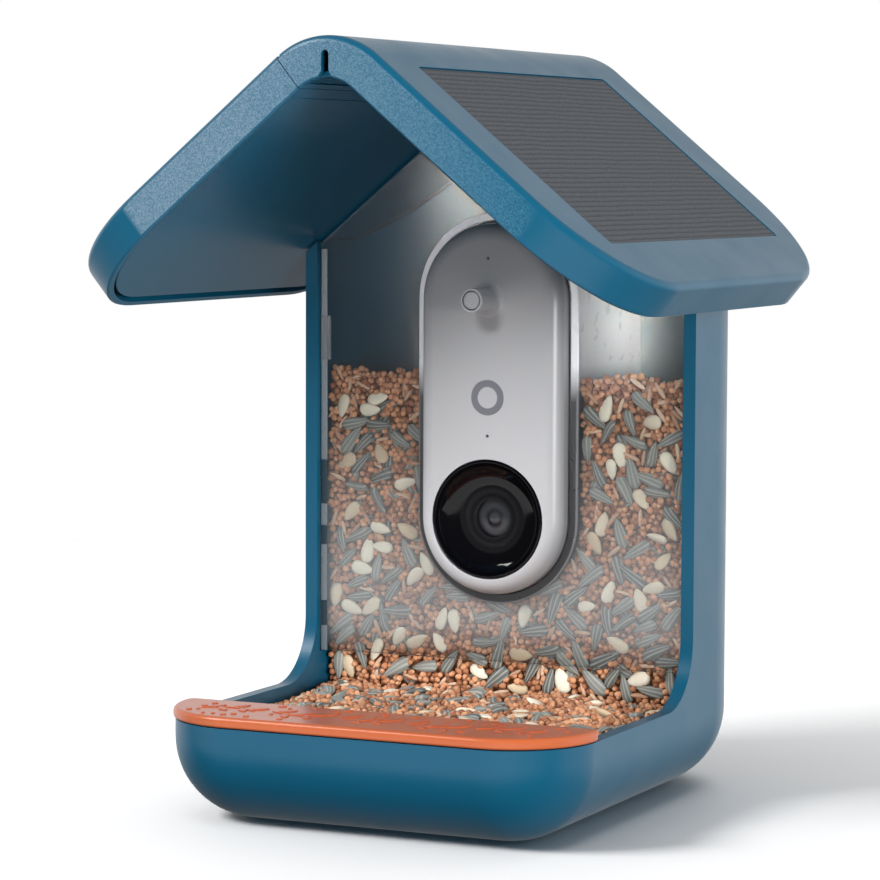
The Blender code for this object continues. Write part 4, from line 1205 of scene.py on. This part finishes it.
def roof_blue():
    """Satin blue, with a fine pebbled grain on the upright front of the gable. The grain's specks are
    painted lighter and darker as painted glints, and painted paler toward the left as a painted sheen.
    """
    look = Material("roof_blue", BLUE, 0.33, IOR=1.47).rub(60, 0.3, 0.36)
    facing = look.scaled(look.split(look.place["Normal"])[1], 1, 0, -0.98, -0.9)
    x, y, _ = look.split(look.place["Object"])
    front = look.scaled(y, 1, 0, gable_y + 0.1 * MM, gable_y + 0.3 * MM)
    reach = look.scaled(look.math("ABSOLUTE", look.plus(x, grain_lean)), 1, 0, grain_reach, grain_end)
    mask = look.times(look.times(facing, front), reach)
    # Specks of the pebbled grain, also painted lighter and darker as painted glints
    specks = look.scaled(look.noise(grain_scale), 0, 1, 0.38, 0.62)
    # Painted sheen: the speck colours are painted paler toward the left end of the gable
    pale = look.scaled(x, 1, 0, -grain_painted_sheen_reach, 2 * grain_painted_sheen_reach)
    bright = look.mix(pale, (0.025, 0.115, 0.185), (0.13, 0.2, 0.26))
    dark = look.mix(pale, (0.006, 0.068, 0.125), (0.055, 0.125, 0.185))
    look.paint(look.mix(mask, BLUE, look.mix(specks, dark, bright)))
    return look.bump(look.times(specks, mask), grain_depth)


def underside_blue():
    return Material("underside_blue", BLUE, 0.2).mottle(20, 0.04).rub(15, 0.19, 0.22)


def orange():
    look = Material("perch_orange", (0.42, 0.095, 0.03), 0.34, Coat_Weight=0.3, Coat_Roughness=0.2)
    return look.mottle(60, 0.05).rub(120, 0.32, 0.36).bump(look.noise(2500, 1), 0.004 * MM)


def orange_relief():
    look = Material("relief_orange", (0.44, 0.085, 0.026), 0.36, Coat_Weight=0.3, Coat_Roughness=0.2)
    return look.mottle(60, 0.05).rub(120, 0.4, 0.5).bump(look.noise(2500, 1), 0.01 * MM)


def clear_film(name, tint, roughness, ior, body, body_share):
    """Clear plastic: light goes straight through, the face reflects by Fresnel, and a share is solid."""
    look = Material(name, body, 0.3).rub(200, 0.26, 0.34)
    film = look.new("BsdfTransparent", {"Color": tint})[0]
    rough = look.scaled(look.noise(30, 1), roughness, roughness * 1.05)
    gloss = look.new("BsdfPrincipled", {"Metallic": 1, "Base Color": (1, 1, 1), "Roughness": rough})[0]
    face = look.blend(look.new("Fresnel", {"IOR": ior})[0], film, gloss)
    whole = look.blend(body_share(look), face, look.shader.outputs[0])
    look.links.new(whole, look.nodes["Material Output"].inputs["Surface"])
    return look


def window_film():
    # The body colour shows on the milky cut edges and as the painted floor reflection
    return clear_film("window_film", (0.96, 0.97, 0.97), 0.075, 1.25, (0.78, 0.84, 0.88), cut_edges_and_floor_reflection)


def sleeve_film():
    return clear_film("sleeve_film", (0.3, 0.31, 0.33), 0.08, 1.35, (0.75, 0.76, 0.78), ring_painted_shade_and_light)


def frosted_film():
    return clear_film("frosted_film", (0.8, 0.82, 0.84), 0.1, 1.35, (0.2, 0.23, 0.25), frosted)


def bead_film():
    return clear_film("bead_film", (0.8, 0.82, 0.84), 0.1, 1.35, (0.17, 0.2, 0.225), milky)


def frosted(look):
    return look.scaled(look.noise(300), 0.3, 0.4)


def milky(look):
    return look.scaled(look.noise(300), 0.6, 0.7)


def cut_edges_and_floor_reflection(look):
    """Milky cut edges, and a painted reflection of the floor that grows toward the foot of the sheet."""
    side = look.math("ABSOLUTE", look.split(look.place["Normal"])[1])
    height = look.split(look.place["Object"])[2]
    # Painted reflection of the floor, fading in just above the sheet's foot
    painted_floor_reflection = look.scaled(height, floor_reflection_peak, floor_reflection_high, floor_reflection_low_z, floor_reflection_high_z)
    foot = look.scaled(height, 0, 1, window_bottom, window_bottom + floor_reflection_foot)
    return look.plus(look.scaled(side, 0.06, 0, 0.3, 0.9), look.times(painted_floor_reflection, foot))


def ring_painted_shade_and_light(look):
    """The ring is painted: painted shade in the gap beside the camera, a painted highlight on the rim
    outside it, and painted reflected light over the rest above the seed.
    """
    x, _, z = look.split(look.place["Object"])
    middle = look.math("MINIMUM", look.math("MAXIMUM", z, stadium_low_z), stadium_high_z)
    reach = look.distance(x, look.math("SUBTRACT", z, middle))
    above = look.scaled(z, 0, 1, ring_painted_reflection_low_z, ring_painted_reflection_high_z)
    inner = look.scaled(reach, 0, 1, ring_painted_shade_radius, ring_painted_shade_radius + ring_painted_shade_blur)
    rim = look.scaled(reach, 0, 1, ring_painted_highlight_radius, ring_painted_highlight_radius + ring_painted_highlight_blur)
    # Painted light: shade in the gap, reflected light above the seed, a fainter painted highlight on the rim
    # below it
    painted_light_share = look.times(inner, look.math("MAXIMUM", above, look.times(rim, 0.22)))
    look.paint(look.mix(painted_light_share, (0.012, 0.013, 0.016), (0.68, 0.7, 0.73)))
    return look.scaled(painted_light_share, 0.8, 0.85)


def light_shell():
    return Material("light_shell", (0.5, 0.505, 0.525), 0.25, IOR=1.6).mottle(25, 0.01).rub(20, 0.24, 0.26)


def clip_grey():
    return Material("clip_slate", (0.022, 0.04, 0.055), 0.35).mottle(60, 0.05).rub(60, 0.32, 0.38)


def badge_grey():
    return Material("badge_grey", (0.3, 0.3, 0.34), 0.35, Metallic=0.6).mottle(200, 0.03).rub(200, 0.32, 0.4)


def dark_shell():
    look = Material("dark_shell", (0.03, 0.032, 0.036), 0.4).mottle(60, 0.1).rub(90, 0.36, 0.46)
    return look.bump(look.noise(3000, 1), 0.01 * MM)


def rings(look, dark, pale, ripple):
    """Soft concentric rings in front of the lens, paler toward the middle, one to each ripple's width."""
    x, _, z = look.split(look.place["Object"])
    reach = look.distance(x, look.math("SUBTRACT", z, stadium_low_z))
    wave = look.scaled(look.math("SINE", look.times(reach, 2 * pi / ripple)), 0.35, 1, -1, 1)
    inside = look.scaled(reach, 1, 0, dish_flat_radius, dish_flat_radius + 1 * MM)
    return look.paint(look.mix(look.times(wave, inside), dark, pale))


def gloss_black():
    look = Material("gloss_black", (0.002, 0.002, 0.003), 0.08, IOR=1.4).rub(40, 0.07, 0.1)
    return rings(look, (0.002, 0.002, 0.003), (0.012, 0.012, 0.014), 2.6 * MM)


def cover_glass():
    look = Material("cover_glass", (0.02, 0.021, 0.024), 0.2).rub(100, 0.18, 0.24)
    return rings(look, (0.009, 0.009, 0.011), (0.038, 0.04, 0.046), 3.1 * MM)


def solar_cells():
    """Dark cells under a lined skin: soft bands along Y, each a little wavy, crossed by a fine hatch."""
    look = Material("solar_cells", (0.03, 0.032, 0.036), 0.5, Specular_IOR_Level=0.2)
    wave = look.scaled(look.noise(60), -solar_line_wave, solar_line_wave)
    down = look.plus(look.split(look.place["Object"])[2], wave)
    band = look.math("FRACT", look.times(down, 1 / solar_line_rise))
    shade = look.times(band, look.math("SUBTRACT", 1.35, band))
    hatch = look.scaled(look.noise(2600, 1, (1, 0.35, 1)), 0, 1, 0.35, 0.65)
    tone = look.plus(look.times(shade, 1.5), look.times(hatch, 0.35))
    look.paint(look.mix(look.scaled(tone, 0, 1, 0, 1.1), (0.003, 0.005, 0.008), (0.068, 0.077, 0.09)))
    return look.bump(shade, 0.12 * MM).bump(hatch, 0.03 * MM)


def plain(name, colour, low, high, **sockets):
    look = Material(name, colour, low, **sockets).mottle(80).rub(150, low, high)
    return look.bump(look.noise(1500, 1), 0.008 * MM)


def steel():
    return plain("steel_parts", (0.6, 0.61, 0.63), 0.25, 0.35, Metallic=1)


def brass():
    return plain("brass_inserts", (0.75, 0.52, 0.22), 0.25, 0.35, Metallic=1)


def grey_plastic():
    return plain("grey_parts", (0.3, 0.31, 0.33), 0.45, 0.55)


def rubber():
    return plain("rubber_parts", (0.02, 0.02, 0.021), 0.7, 0.85)


def pale_plastic():
    return plain("pale_parts", (0.6, 0.6, 0.6), 0.4, 0.5)


def board_green():
    look = Material("board_green", (0.02, 0.11, 0.045), 0.4)
    tracks = look.noise(700, 0, (1, 1, 0.1))
    copper = look.scaled(tracks, 0, 1, 0.45, 0.5)
    return look.paint(look.mix(copper, (0.015, 0.08, 0.03), (0.04, 0.17, 0.07)))


def grain_look():
    look = Material("seed_grain", (0.3, 0.1, 0.035), 0.5)
    along, _, dice = look.seed()
    tone = look.mix(look.scaled(dice, 0, 1), (0.27, 0.1, 0.05), (0.74, 0.36, 0.19))
    look.paint(look.mix(look.scaled(along, 0, 0.6, 0.5, 0.98), tone, (0.78, 0.5, 0.32)))
    return look.bump(look.noise(1800), 0.05 * MM)


def sunflower_look():
    """Dark grey hull with pale stripes that run together at the tip."""
    look = Material("seed_sunflower", (0.05, 0.055, 0.055), 0.45)
    _, across, dice = look.seed()
    wander = look.scaled(look.noise(260), -0.6, 0.6)
    phase = look.plus(look.times(across, 11), look.plus(wander, look.times(dice, 3)))
    stripe = look.scaled(look.math("SINE", phase), 0, 0.8, 0.1, 0.95)
    look.paint(look.mix(stripe, look.mix(dice, (0.1, 0.105, 0.1), (0.26, 0.27, 0.25)), (0.42, 0.43, 0.39)))
    return look.bump(look.noise(900, 3, (1, 1, 1)), 0.06 * MM)


def pale_look():
    look = Material("seed_pale", (0.72, 0.62, 0.44), 0.48, Subsurface_Weight=0.1,
                    Subsurface_Radius=(2 * MM, 1.5 * MM, 1 * MM))
    _, across, dice = look.seed()
    tone = look.mix(look.scaled(dice, 0, 1, 0, 0.5), (0.6, 0.45, 0.28), (0.85, 0.79, 0.65))
    edge = look.scaled(look.math("ABSOLUTE", across), 0, 0.5, 0.75, 0.97)
    look.paint(look.mix(edge, tone, (0.5, 0.38, 0.24)))
    return look.bump(look.noise(700), 0.06 * MM)


def straw_look():
    look = Material("seed_straw", (0.45, 0.25, 0.16), 0.5)
    look.paint(look.mix(look.seed()[2], (0.5, 0.28, 0.18), (0.76, 0.56, 0.4)))
    return look.bump(look.noise(900), 0.05 * MM)


def bed_look():
    look = Material("seed_bed", (0.12, 0.05, 0.025), 0.7)
    look.paint(look.mix(look.noise(500), (0.05, 0.02, 0.01), (0.3, 0.13, 0.06)))
    return look.bump(look.noise(500, 1), 0.8 * MM)


def dress_cad_nodes():
    """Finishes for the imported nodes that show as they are."""
    looks = {"steel": steel(), "brass": brass(), "grey_plastic": grey_plastic(),
             "dark_plastic": dark_shell(), "black_rubber": rubber(), "circuit_board": board_green(),
             "lens_glass": cover_glass(), "light_plastic": pale_plastic()}
    slots = {entry["node"]: entry["material_slot"] for entry in frame["record"]["subparts"]}
    for name, node in frame["nodes"].items():
        look = looks.get(slots[name])
        if look:
            node.data.materials.clear()
            node.data.materials.append(look.material)


# Seed


def lump(divisions):
    """Corners and quads of a sphere made from a divided cube, of radius 1."""
    bm = bmesh.new()
    bmesh.ops.create_cube(bm, size=2.0)
    bmesh.ops.subdivide_edges(bm, edges=bm.edges[:], cuts=divisions - 1, use_grid_fill=True)
    bm.verts.ensure_lookup_table()
    points = np.array([vert.co.normalized() for vert in bm.verts])
    quads = np.array([[vert.index for vert in face.verts] for face in bm.faces])
    bm.free()
    return points, quads


def shape_seed(kind, points, size):
    """Seed of one kind, lying in X and Z with its thin side along Y."""
    length, width, thick = [value * size for value in SEED_KINDS[kind][:3]]
    taper = SEED_KINDS[kind][3]
    x, y, z = points.T
    shrink = (1 - taper * x) * (1 - 0.9 * taper * np.clip(x, 0, 1) ** 2)
    tip = np.where(x > 0, 1 + 0.6 * taper * x ** 6, 1)
    return np.stack([x * length * tip, y * thick * shrink, z * width * shrink], axis=1)


def spin(turn, tilt, roll):
    """Rotation by the turn in the layer's plane, then small tilts out of it."""
    rotation = Matrix.Rotation(turn, 3, "Y") @ Matrix.Rotation(tilt, 3, "Z")
    return np.array(rotation @ Matrix.Rotation(roll, 3, "X"))


class SeedPile:
    """Seeds of one kind, gathered into one mesh."""

    def __init__(self, kind, divisions):
        self.kind = kind
        self.points, self.quads = lump(divisions)
        self.corners, self.faces, self.marks = [], [], []

    def add(self, place, rotation, dice, floor=None):
        """Put a seed at a place. The floor is (axis, level) that none of its points may pass below."""
        size = dice.uniform(*seed_sizes)
        body = shape_seed(self.kind, self.points, size) @ rotation.T + np.array(place)
        if floor:
            axis, level = floor
            body[:, axis] += max(level - body[:, axis].min(), 0)
        self.faces.append(self.quads + len(self.corners) * len(self.points))
        self.corners.append(body)
        own = np.full(len(self.points), dice.random())
        self.marks.append(np.stack([self.points[:, 0], self.points[:, 2], own], axis=1))

    def build(self, name, look):
        corners, faces = np.concatenate(self.corners), np.concatenate(self.faces)
        mesh = bpy.data.meshes.new(name)
        mesh.vertices.add(len(corners))
        mesh.vertices.foreach_set("co", corners.ravel())
        mesh.loops.add(faces.size)
        mesh.loops.foreach_set("vertex_index", faces.ravel())
        mesh.polygons.add(len(faces))
        mesh.polygons.foreach_set("loop_start", np.arange(0, faces.size, 4))
        mesh.update(calc_edges=True)
        marks = mesh.attributes.new("seed", "FLOAT_VECTOR", "POINT")
        marks.data.foreach_set("vector", np.concatenate(self.marks).ravel())
        mesh.shade_smooth()
        mesh.transform(to_frame)
        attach(new_object(mesh, name, look), "base")


def big_seeds(dice, width, height, big_kinds, allowed):
    """Spots for big seeds thrown on a flat layer, and the discs (place, radius) that they take up."""
    spots, taken = [], []
    for kind, number in big_kinds:
        reach, half = SEED_KINDS[kind][:2]
        for _ in range(number):
            for _ in range(throw_tries):
                a, b = dice.uniform(*width), dice.uniform(*height)
                if spots and spots[-1][0] == kind == "sunflower" and dice.random() < cluster_share:
                    a, b = dice.gauss(spots[-1][1], cluster_size), dice.gauss(spots[-1][2], cluster_size)
                turn = dice.uniform(0, 2 * pi)
                along, down = reach * cos(turn), reach * sin(turn)
                ends = [(a + share * along, b - share * down) for share in end_shares]
                if not all(allowed(*end, half) for end in ends):
                    continue
                if all(dist(end, other) > big_room * (half + room) for end in ends for other, room in taken):
                    taken += [(end, half) for end in ends]
                    spots.append((kind, a, b, turn))
                    break
    return spots, taken


def scatter(dice, width, height, big_kinds, spacing, allowed):
    """Places on a flat layer: big seeds apart from each other, then small grains on a loose lattice."""
    spots, taken = big_seeds(dice, width, height, big_kinds, allowed)
    grid = {}
    for place, room in taken:
        grid.setdefault((int(place[0] / grid_cell), int(place[1] / grid_cell)), []).append((place, room))
    rise, jitter = spacing * row_share, spacing * jitter_share
    for row in range(int((height[1] - height[0]) / rise) + 1):
        for column in range(int((width[1] - width[0]) / spacing) + 1):
            a = width[0] + (column + row % 2 / 2) * spacing + dice.gauss(0, jitter)
            b = height[0] + row * rise + dice.gauss(0, jitter)
            column_cell, row_cell = int(a / grid_cell), int(b / grid_cell)
            near = [disc for i in (-1, 0, 1) for j in (-1, 0, 1)
                    for disc in grid.get((column_cell + i, row_cell + j), ())]
            free = all(dist((a, b), other) > room * grain_room for other, room in near)
            if free and allowed(a, b, spacing / 2):
                spots.append(("grain", a, b, dice.uniform(0, 2 * pi)))
    return spots


def lean(dice, kind, tilt, roll):
    """Tilt and roll: small grains lie any way up, big seeds nearly flat."""
    if kind == "grain":
        return dice.uniform(-grain_lie, grain_lie), dice.uniform(-grain_lie, grain_lie)
    return dice.gauss(0, tilt), dice.gauss(0, roll)


def hopper_seed(piles, dice, grain, depth, big_kinds, spacing, drop):
    """One upright layer of seed behind the window."""
    foot, top = window_bottom - hopper_foot, seed_top - drop

    def allowed(x, z, margin):
        low, high = foot, top + sum(height * sin(x * rate) for height, rate in crest_waves)
        if margin > big_margin:
            low += big_foot_rise
            high -= big_crest_drop
        off = hypot(x, z - min(max(z, stadium_low_z), stadium_high_z))
        inside = abs(x) < window_edge - margin and low < z < high
        return inside and off > sleeve_outer + margin * sleeve_room

    width, height = (-window_edge, window_edge), (foot, top + crest_reach)
    for kind, x, z, turn in scatter(dice, width, height, big_kinds, spacing, allowed):
        rotation = spin(turn, *lean(dice, kind, *hopper_leans))
        spread = grain_spread if kind == "grain" else big_spread
        place = (x, window_back + depth + dice.uniform(0, spread), z)
        piles[grain if kind == "grain" else kind].add(place, rotation, dice, (1, window_back + seed_gap))


def heap_height(x, y):
    """Height of the seed in the tray, from the foot of the window down to the perch."""
    back = max(0, 1 - (window_front - y) / heap_back_reach)
    side = min(1, (inner_half_width - abs(x)) / heap_side_reach)
    ripple = heap_ripple * sin(x * heap_rates[0] + y * heap_rates[1])
    return heap_low + heap_crown * side + heap_back_rise * back ** 1.5 + ripple


def tray_seed(piles, dice, grain, drop, big_kinds, spacing):
    """One layer of the heap in the tray."""

    def allowed(x, y, margin):
        return abs(x) < inner_half_width - margin and heap_front < y < window_front + heap_overlap

    turn_up = np.array(Matrix.Rotation(pi / 2, 3, "X"))
    width, height = (-inner_half_width, inner_half_width), (heap_front, window_front)
    for kind, x, y, turn in scatter(dice, width, height, big_kinds, spacing, allowed):
        rotation = turn_up @ spin(turn, *lean(dice, kind, *tray_leans))
        z = heap_height(x, y) - drop + dice.uniform(-heap_spread, heap_spread)
        if y < perch_rear + under_perch_reach:
            z = min(z, perch_low_z - under_perch_drop)
        piles[grain if kind == "grain" else kind].add((x, y, z), rotation, dice)


def tray_bed(look):
    """The body of the heap under its visible layers."""
    edge = inner_half_width - 2 * clearance
    bm = bmesh.new()
    across = np.linspace(-edge, edge, bed_columns)
    along = np.linspace(heap_front, window_front + bed_gap, bed_rows)
    top = [[bm.verts.new((x, y, heap_height(x, y) - bed_drop)) for x in across] for y in along]
    for low, high in zip(top, top[1:]):
        for i in range(bed_columns - 1):
            bm.faces.new((low[i], low[i + 1], high[i + 1], high[i]))
    mesh = to_mesh(bm, "tray_seed_bed")
    mesh.shade_smooth()
    mesh.transform(to_frame)
    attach(new_object(mesh, "tray_seed_bed", look), "base")


def hopper_bed(look):
    """The body of seed behind the visible layers in the hopper."""
    edge = inner_half_width - 2 * clearance
    block = box((-edge, window_back + bed_gap, window_bottom - bed_foot),
                (edge, window_back + bed_gap + bed_depth, seed_top - bed_top_drop))
    hole = sleeve_outer + clearance
    cut(block, stadium([(hole, window_front), (hole, window_back + 2 * bed_gap + 2 * bed_depth)]))
    finish(block, "hopper_seed_bed", look, edge=0)
    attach(block, "base")


def make_seed():
    dice = random.Random(7)
    piles = {name: SeedPile(kind, divisions) for name, kind, divisions in PILES}
    for layer in HOPPER_LAYERS:
        hopper_seed(piles, dice, *layer)
    for layer in TRAY_LAYERS:
        tray_seed(piles, dice, *layer)
    looks = {"grain": grain_look(), "sunflower": sunflower_look(), "pale": pale_look(),
             "straw": straw_look()}
    for name, pile in piles.items():
        pile.build("seed_" + name, looks[pile.kind])
    bed = bed_look()
    tray_bed(bed)
    hopper_bed(bed)


# Stage


def make_floor():
    mesh = bpy.data.meshes.new("floor")
    x, near, far, z = floor_half_width, floor_near_y, floor_far_y, -floor_sink
    mesh.from_pydata([(-x, near, z), (x, near, z), (x, far, z), (-x, far, z)], [], [(0, 1, 2, 3)])
    floor = new_object(mesh, "floor", Material("floor", (0.9, 0.902, 0.905), 0.7).mottle(3, 0.01))
    floor.visible_diffuse = False
    floor.visible_glossy = False
    return floor


def make_world():
    """White surround, darker toward the viewer, below and overhead."""
    world = bpy.data.worlds.new("studio")
    world.use_nodes = True
    graph = Graph(world.node_tree)
    place = graph.split(graph.new("TexCoord", {})["Generated"])
    toward, below, above = [graph.scaled(place[axis], low, high, start, end)
                            for axis, start, end, low, high in WORLD_RAMPS]
    background = graph.nodes["Background"]
    graph.feed(background.inputs["Strength"], graph.times(graph.times(toward, below), above))
    graph.feed(background.inputs["Color"], (1, 1, 1))
    bpy.context.scene.world = world


def linked(name, items):
    collection = bpy.data.collections.new(name)
    for item in items:
        collection.objects.link(item)
    return collection


def left_out(name, items):
    """Collection of what a lamp doesn't reach."""
    collection = linked(name, items)
    for entry in collection.collection_objects:
        entry.light_linking.link_state = "EXCLUDE"
    return collection


def lamp(name, place, target, size, power, receivers=None):
    """Soft box aimed at a place, for everything or for the receivers alone."""
    light = bpy.data.lights.new(name, "AREA")
    light.shape = "RECTANGLE"
    light.size, light.size_y = size
    light.energy = power
    item = new_object(light, name)
    item.location = place
    item.rotation_euler = (Vector(target) - Vector(place)).to_track_quat("-Z", "Y").to_euler()
    item.light_linking.receiver_collection = receivers
    return item


def make_lamps(floor, shells):
    """Lamps for the object, then those for the floor and for the module's light shells alone."""
    reached = {"all": None, "all_but_floor": left_out("all_but_floor", [floor]),
               "all_but_both": left_out("all_but_both", [floor] + shells),
               "floor_only": linked("floor_only", [floor]), "shells_only": linked("shells_only", shells)}
    for name, place, target, size, power, receivers, glossy in LAMPS:
        item = lamp(name, place, target, size, power, reached[receivers])
        item.visible_glossy = glossy
        if name == "bounce":
            item.light_linking.blocker_collection = reached["all_but_floor"]


def make_panes(floor, panes):
    """Soft boxes that are mirrored in the clear pieces and light nothing else."""
    receivers, blockers = linked("clear_pieces", panes), linked("pane_blockers", [floor])
    for name, start, end, strength in PANES:
        width = end - start
        item = lamp(name, ((start + end) / 2, pane_y, pane_z), pane_target, (width, pane_height),
                    strength * pi * width * pane_height, receivers)
        item.light_linking.blocker_collection = blockers
        item.data.cycles.use_multiple_importance_sampling = False


def make_camera_view():
    """The viewpoint of the photograph."""
    forward = Vector((-sin(view_turn) * cos(view_fall), cos(view_turn) * cos(view_fall), -sin(view_fall)))
    right = Vector((cos(view_turn), sin(view_turn), 0))
    up = right.cross(forward)
    across = right * cos(view_roll) + up * sin(view_roll)
    upright = up * cos(view_roll) - right * sin(view_roll)
    view = bpy.data.cameras.new("view")
    view.sensor_width = view_sensor
    view.lens = view_lens
    view.clip_end = view_reach
    item = new_object(view, "view")
    rotation = Matrix((across, upright, -forward)).transposed().to_4x4()
    item.matrix_world = Matrix.Translation(view_place) @ rotation
    bpy.context.scene.camera = item


def make_pieces():
    light = light_shell()
    make_roof(roof_blue())
    make_undersides(underside_blue())
    make_solar_panel(solar_cells())
    make_housing(body_blue())
    make_window(window_film(), frosted_film(), bead_film(), clip_grey())
    make_sleeve(sleeve_film())
    make_perch(orange())
    make_module_front(light)
    make_module_rear(dark_shell())
    make_button(light)
    make_lens(gloss_black(), cover_glass())
    make_badge(badge_grey())
    make_relief(orange_relief())


def main():
    make_pieces()
    make_seed()
    dress_cad_nodes()
    floor = make_floor()
    make_world()
    make_lamps(floor, [item for item, slot in made if slot == "light_plastic"])
    make_panes(floor, [item for item, slot in made if slot == "clear_plastic"])
    make_camera_view()
    bpy.context.scene.view_settings.view_transform = "Standard"


main()
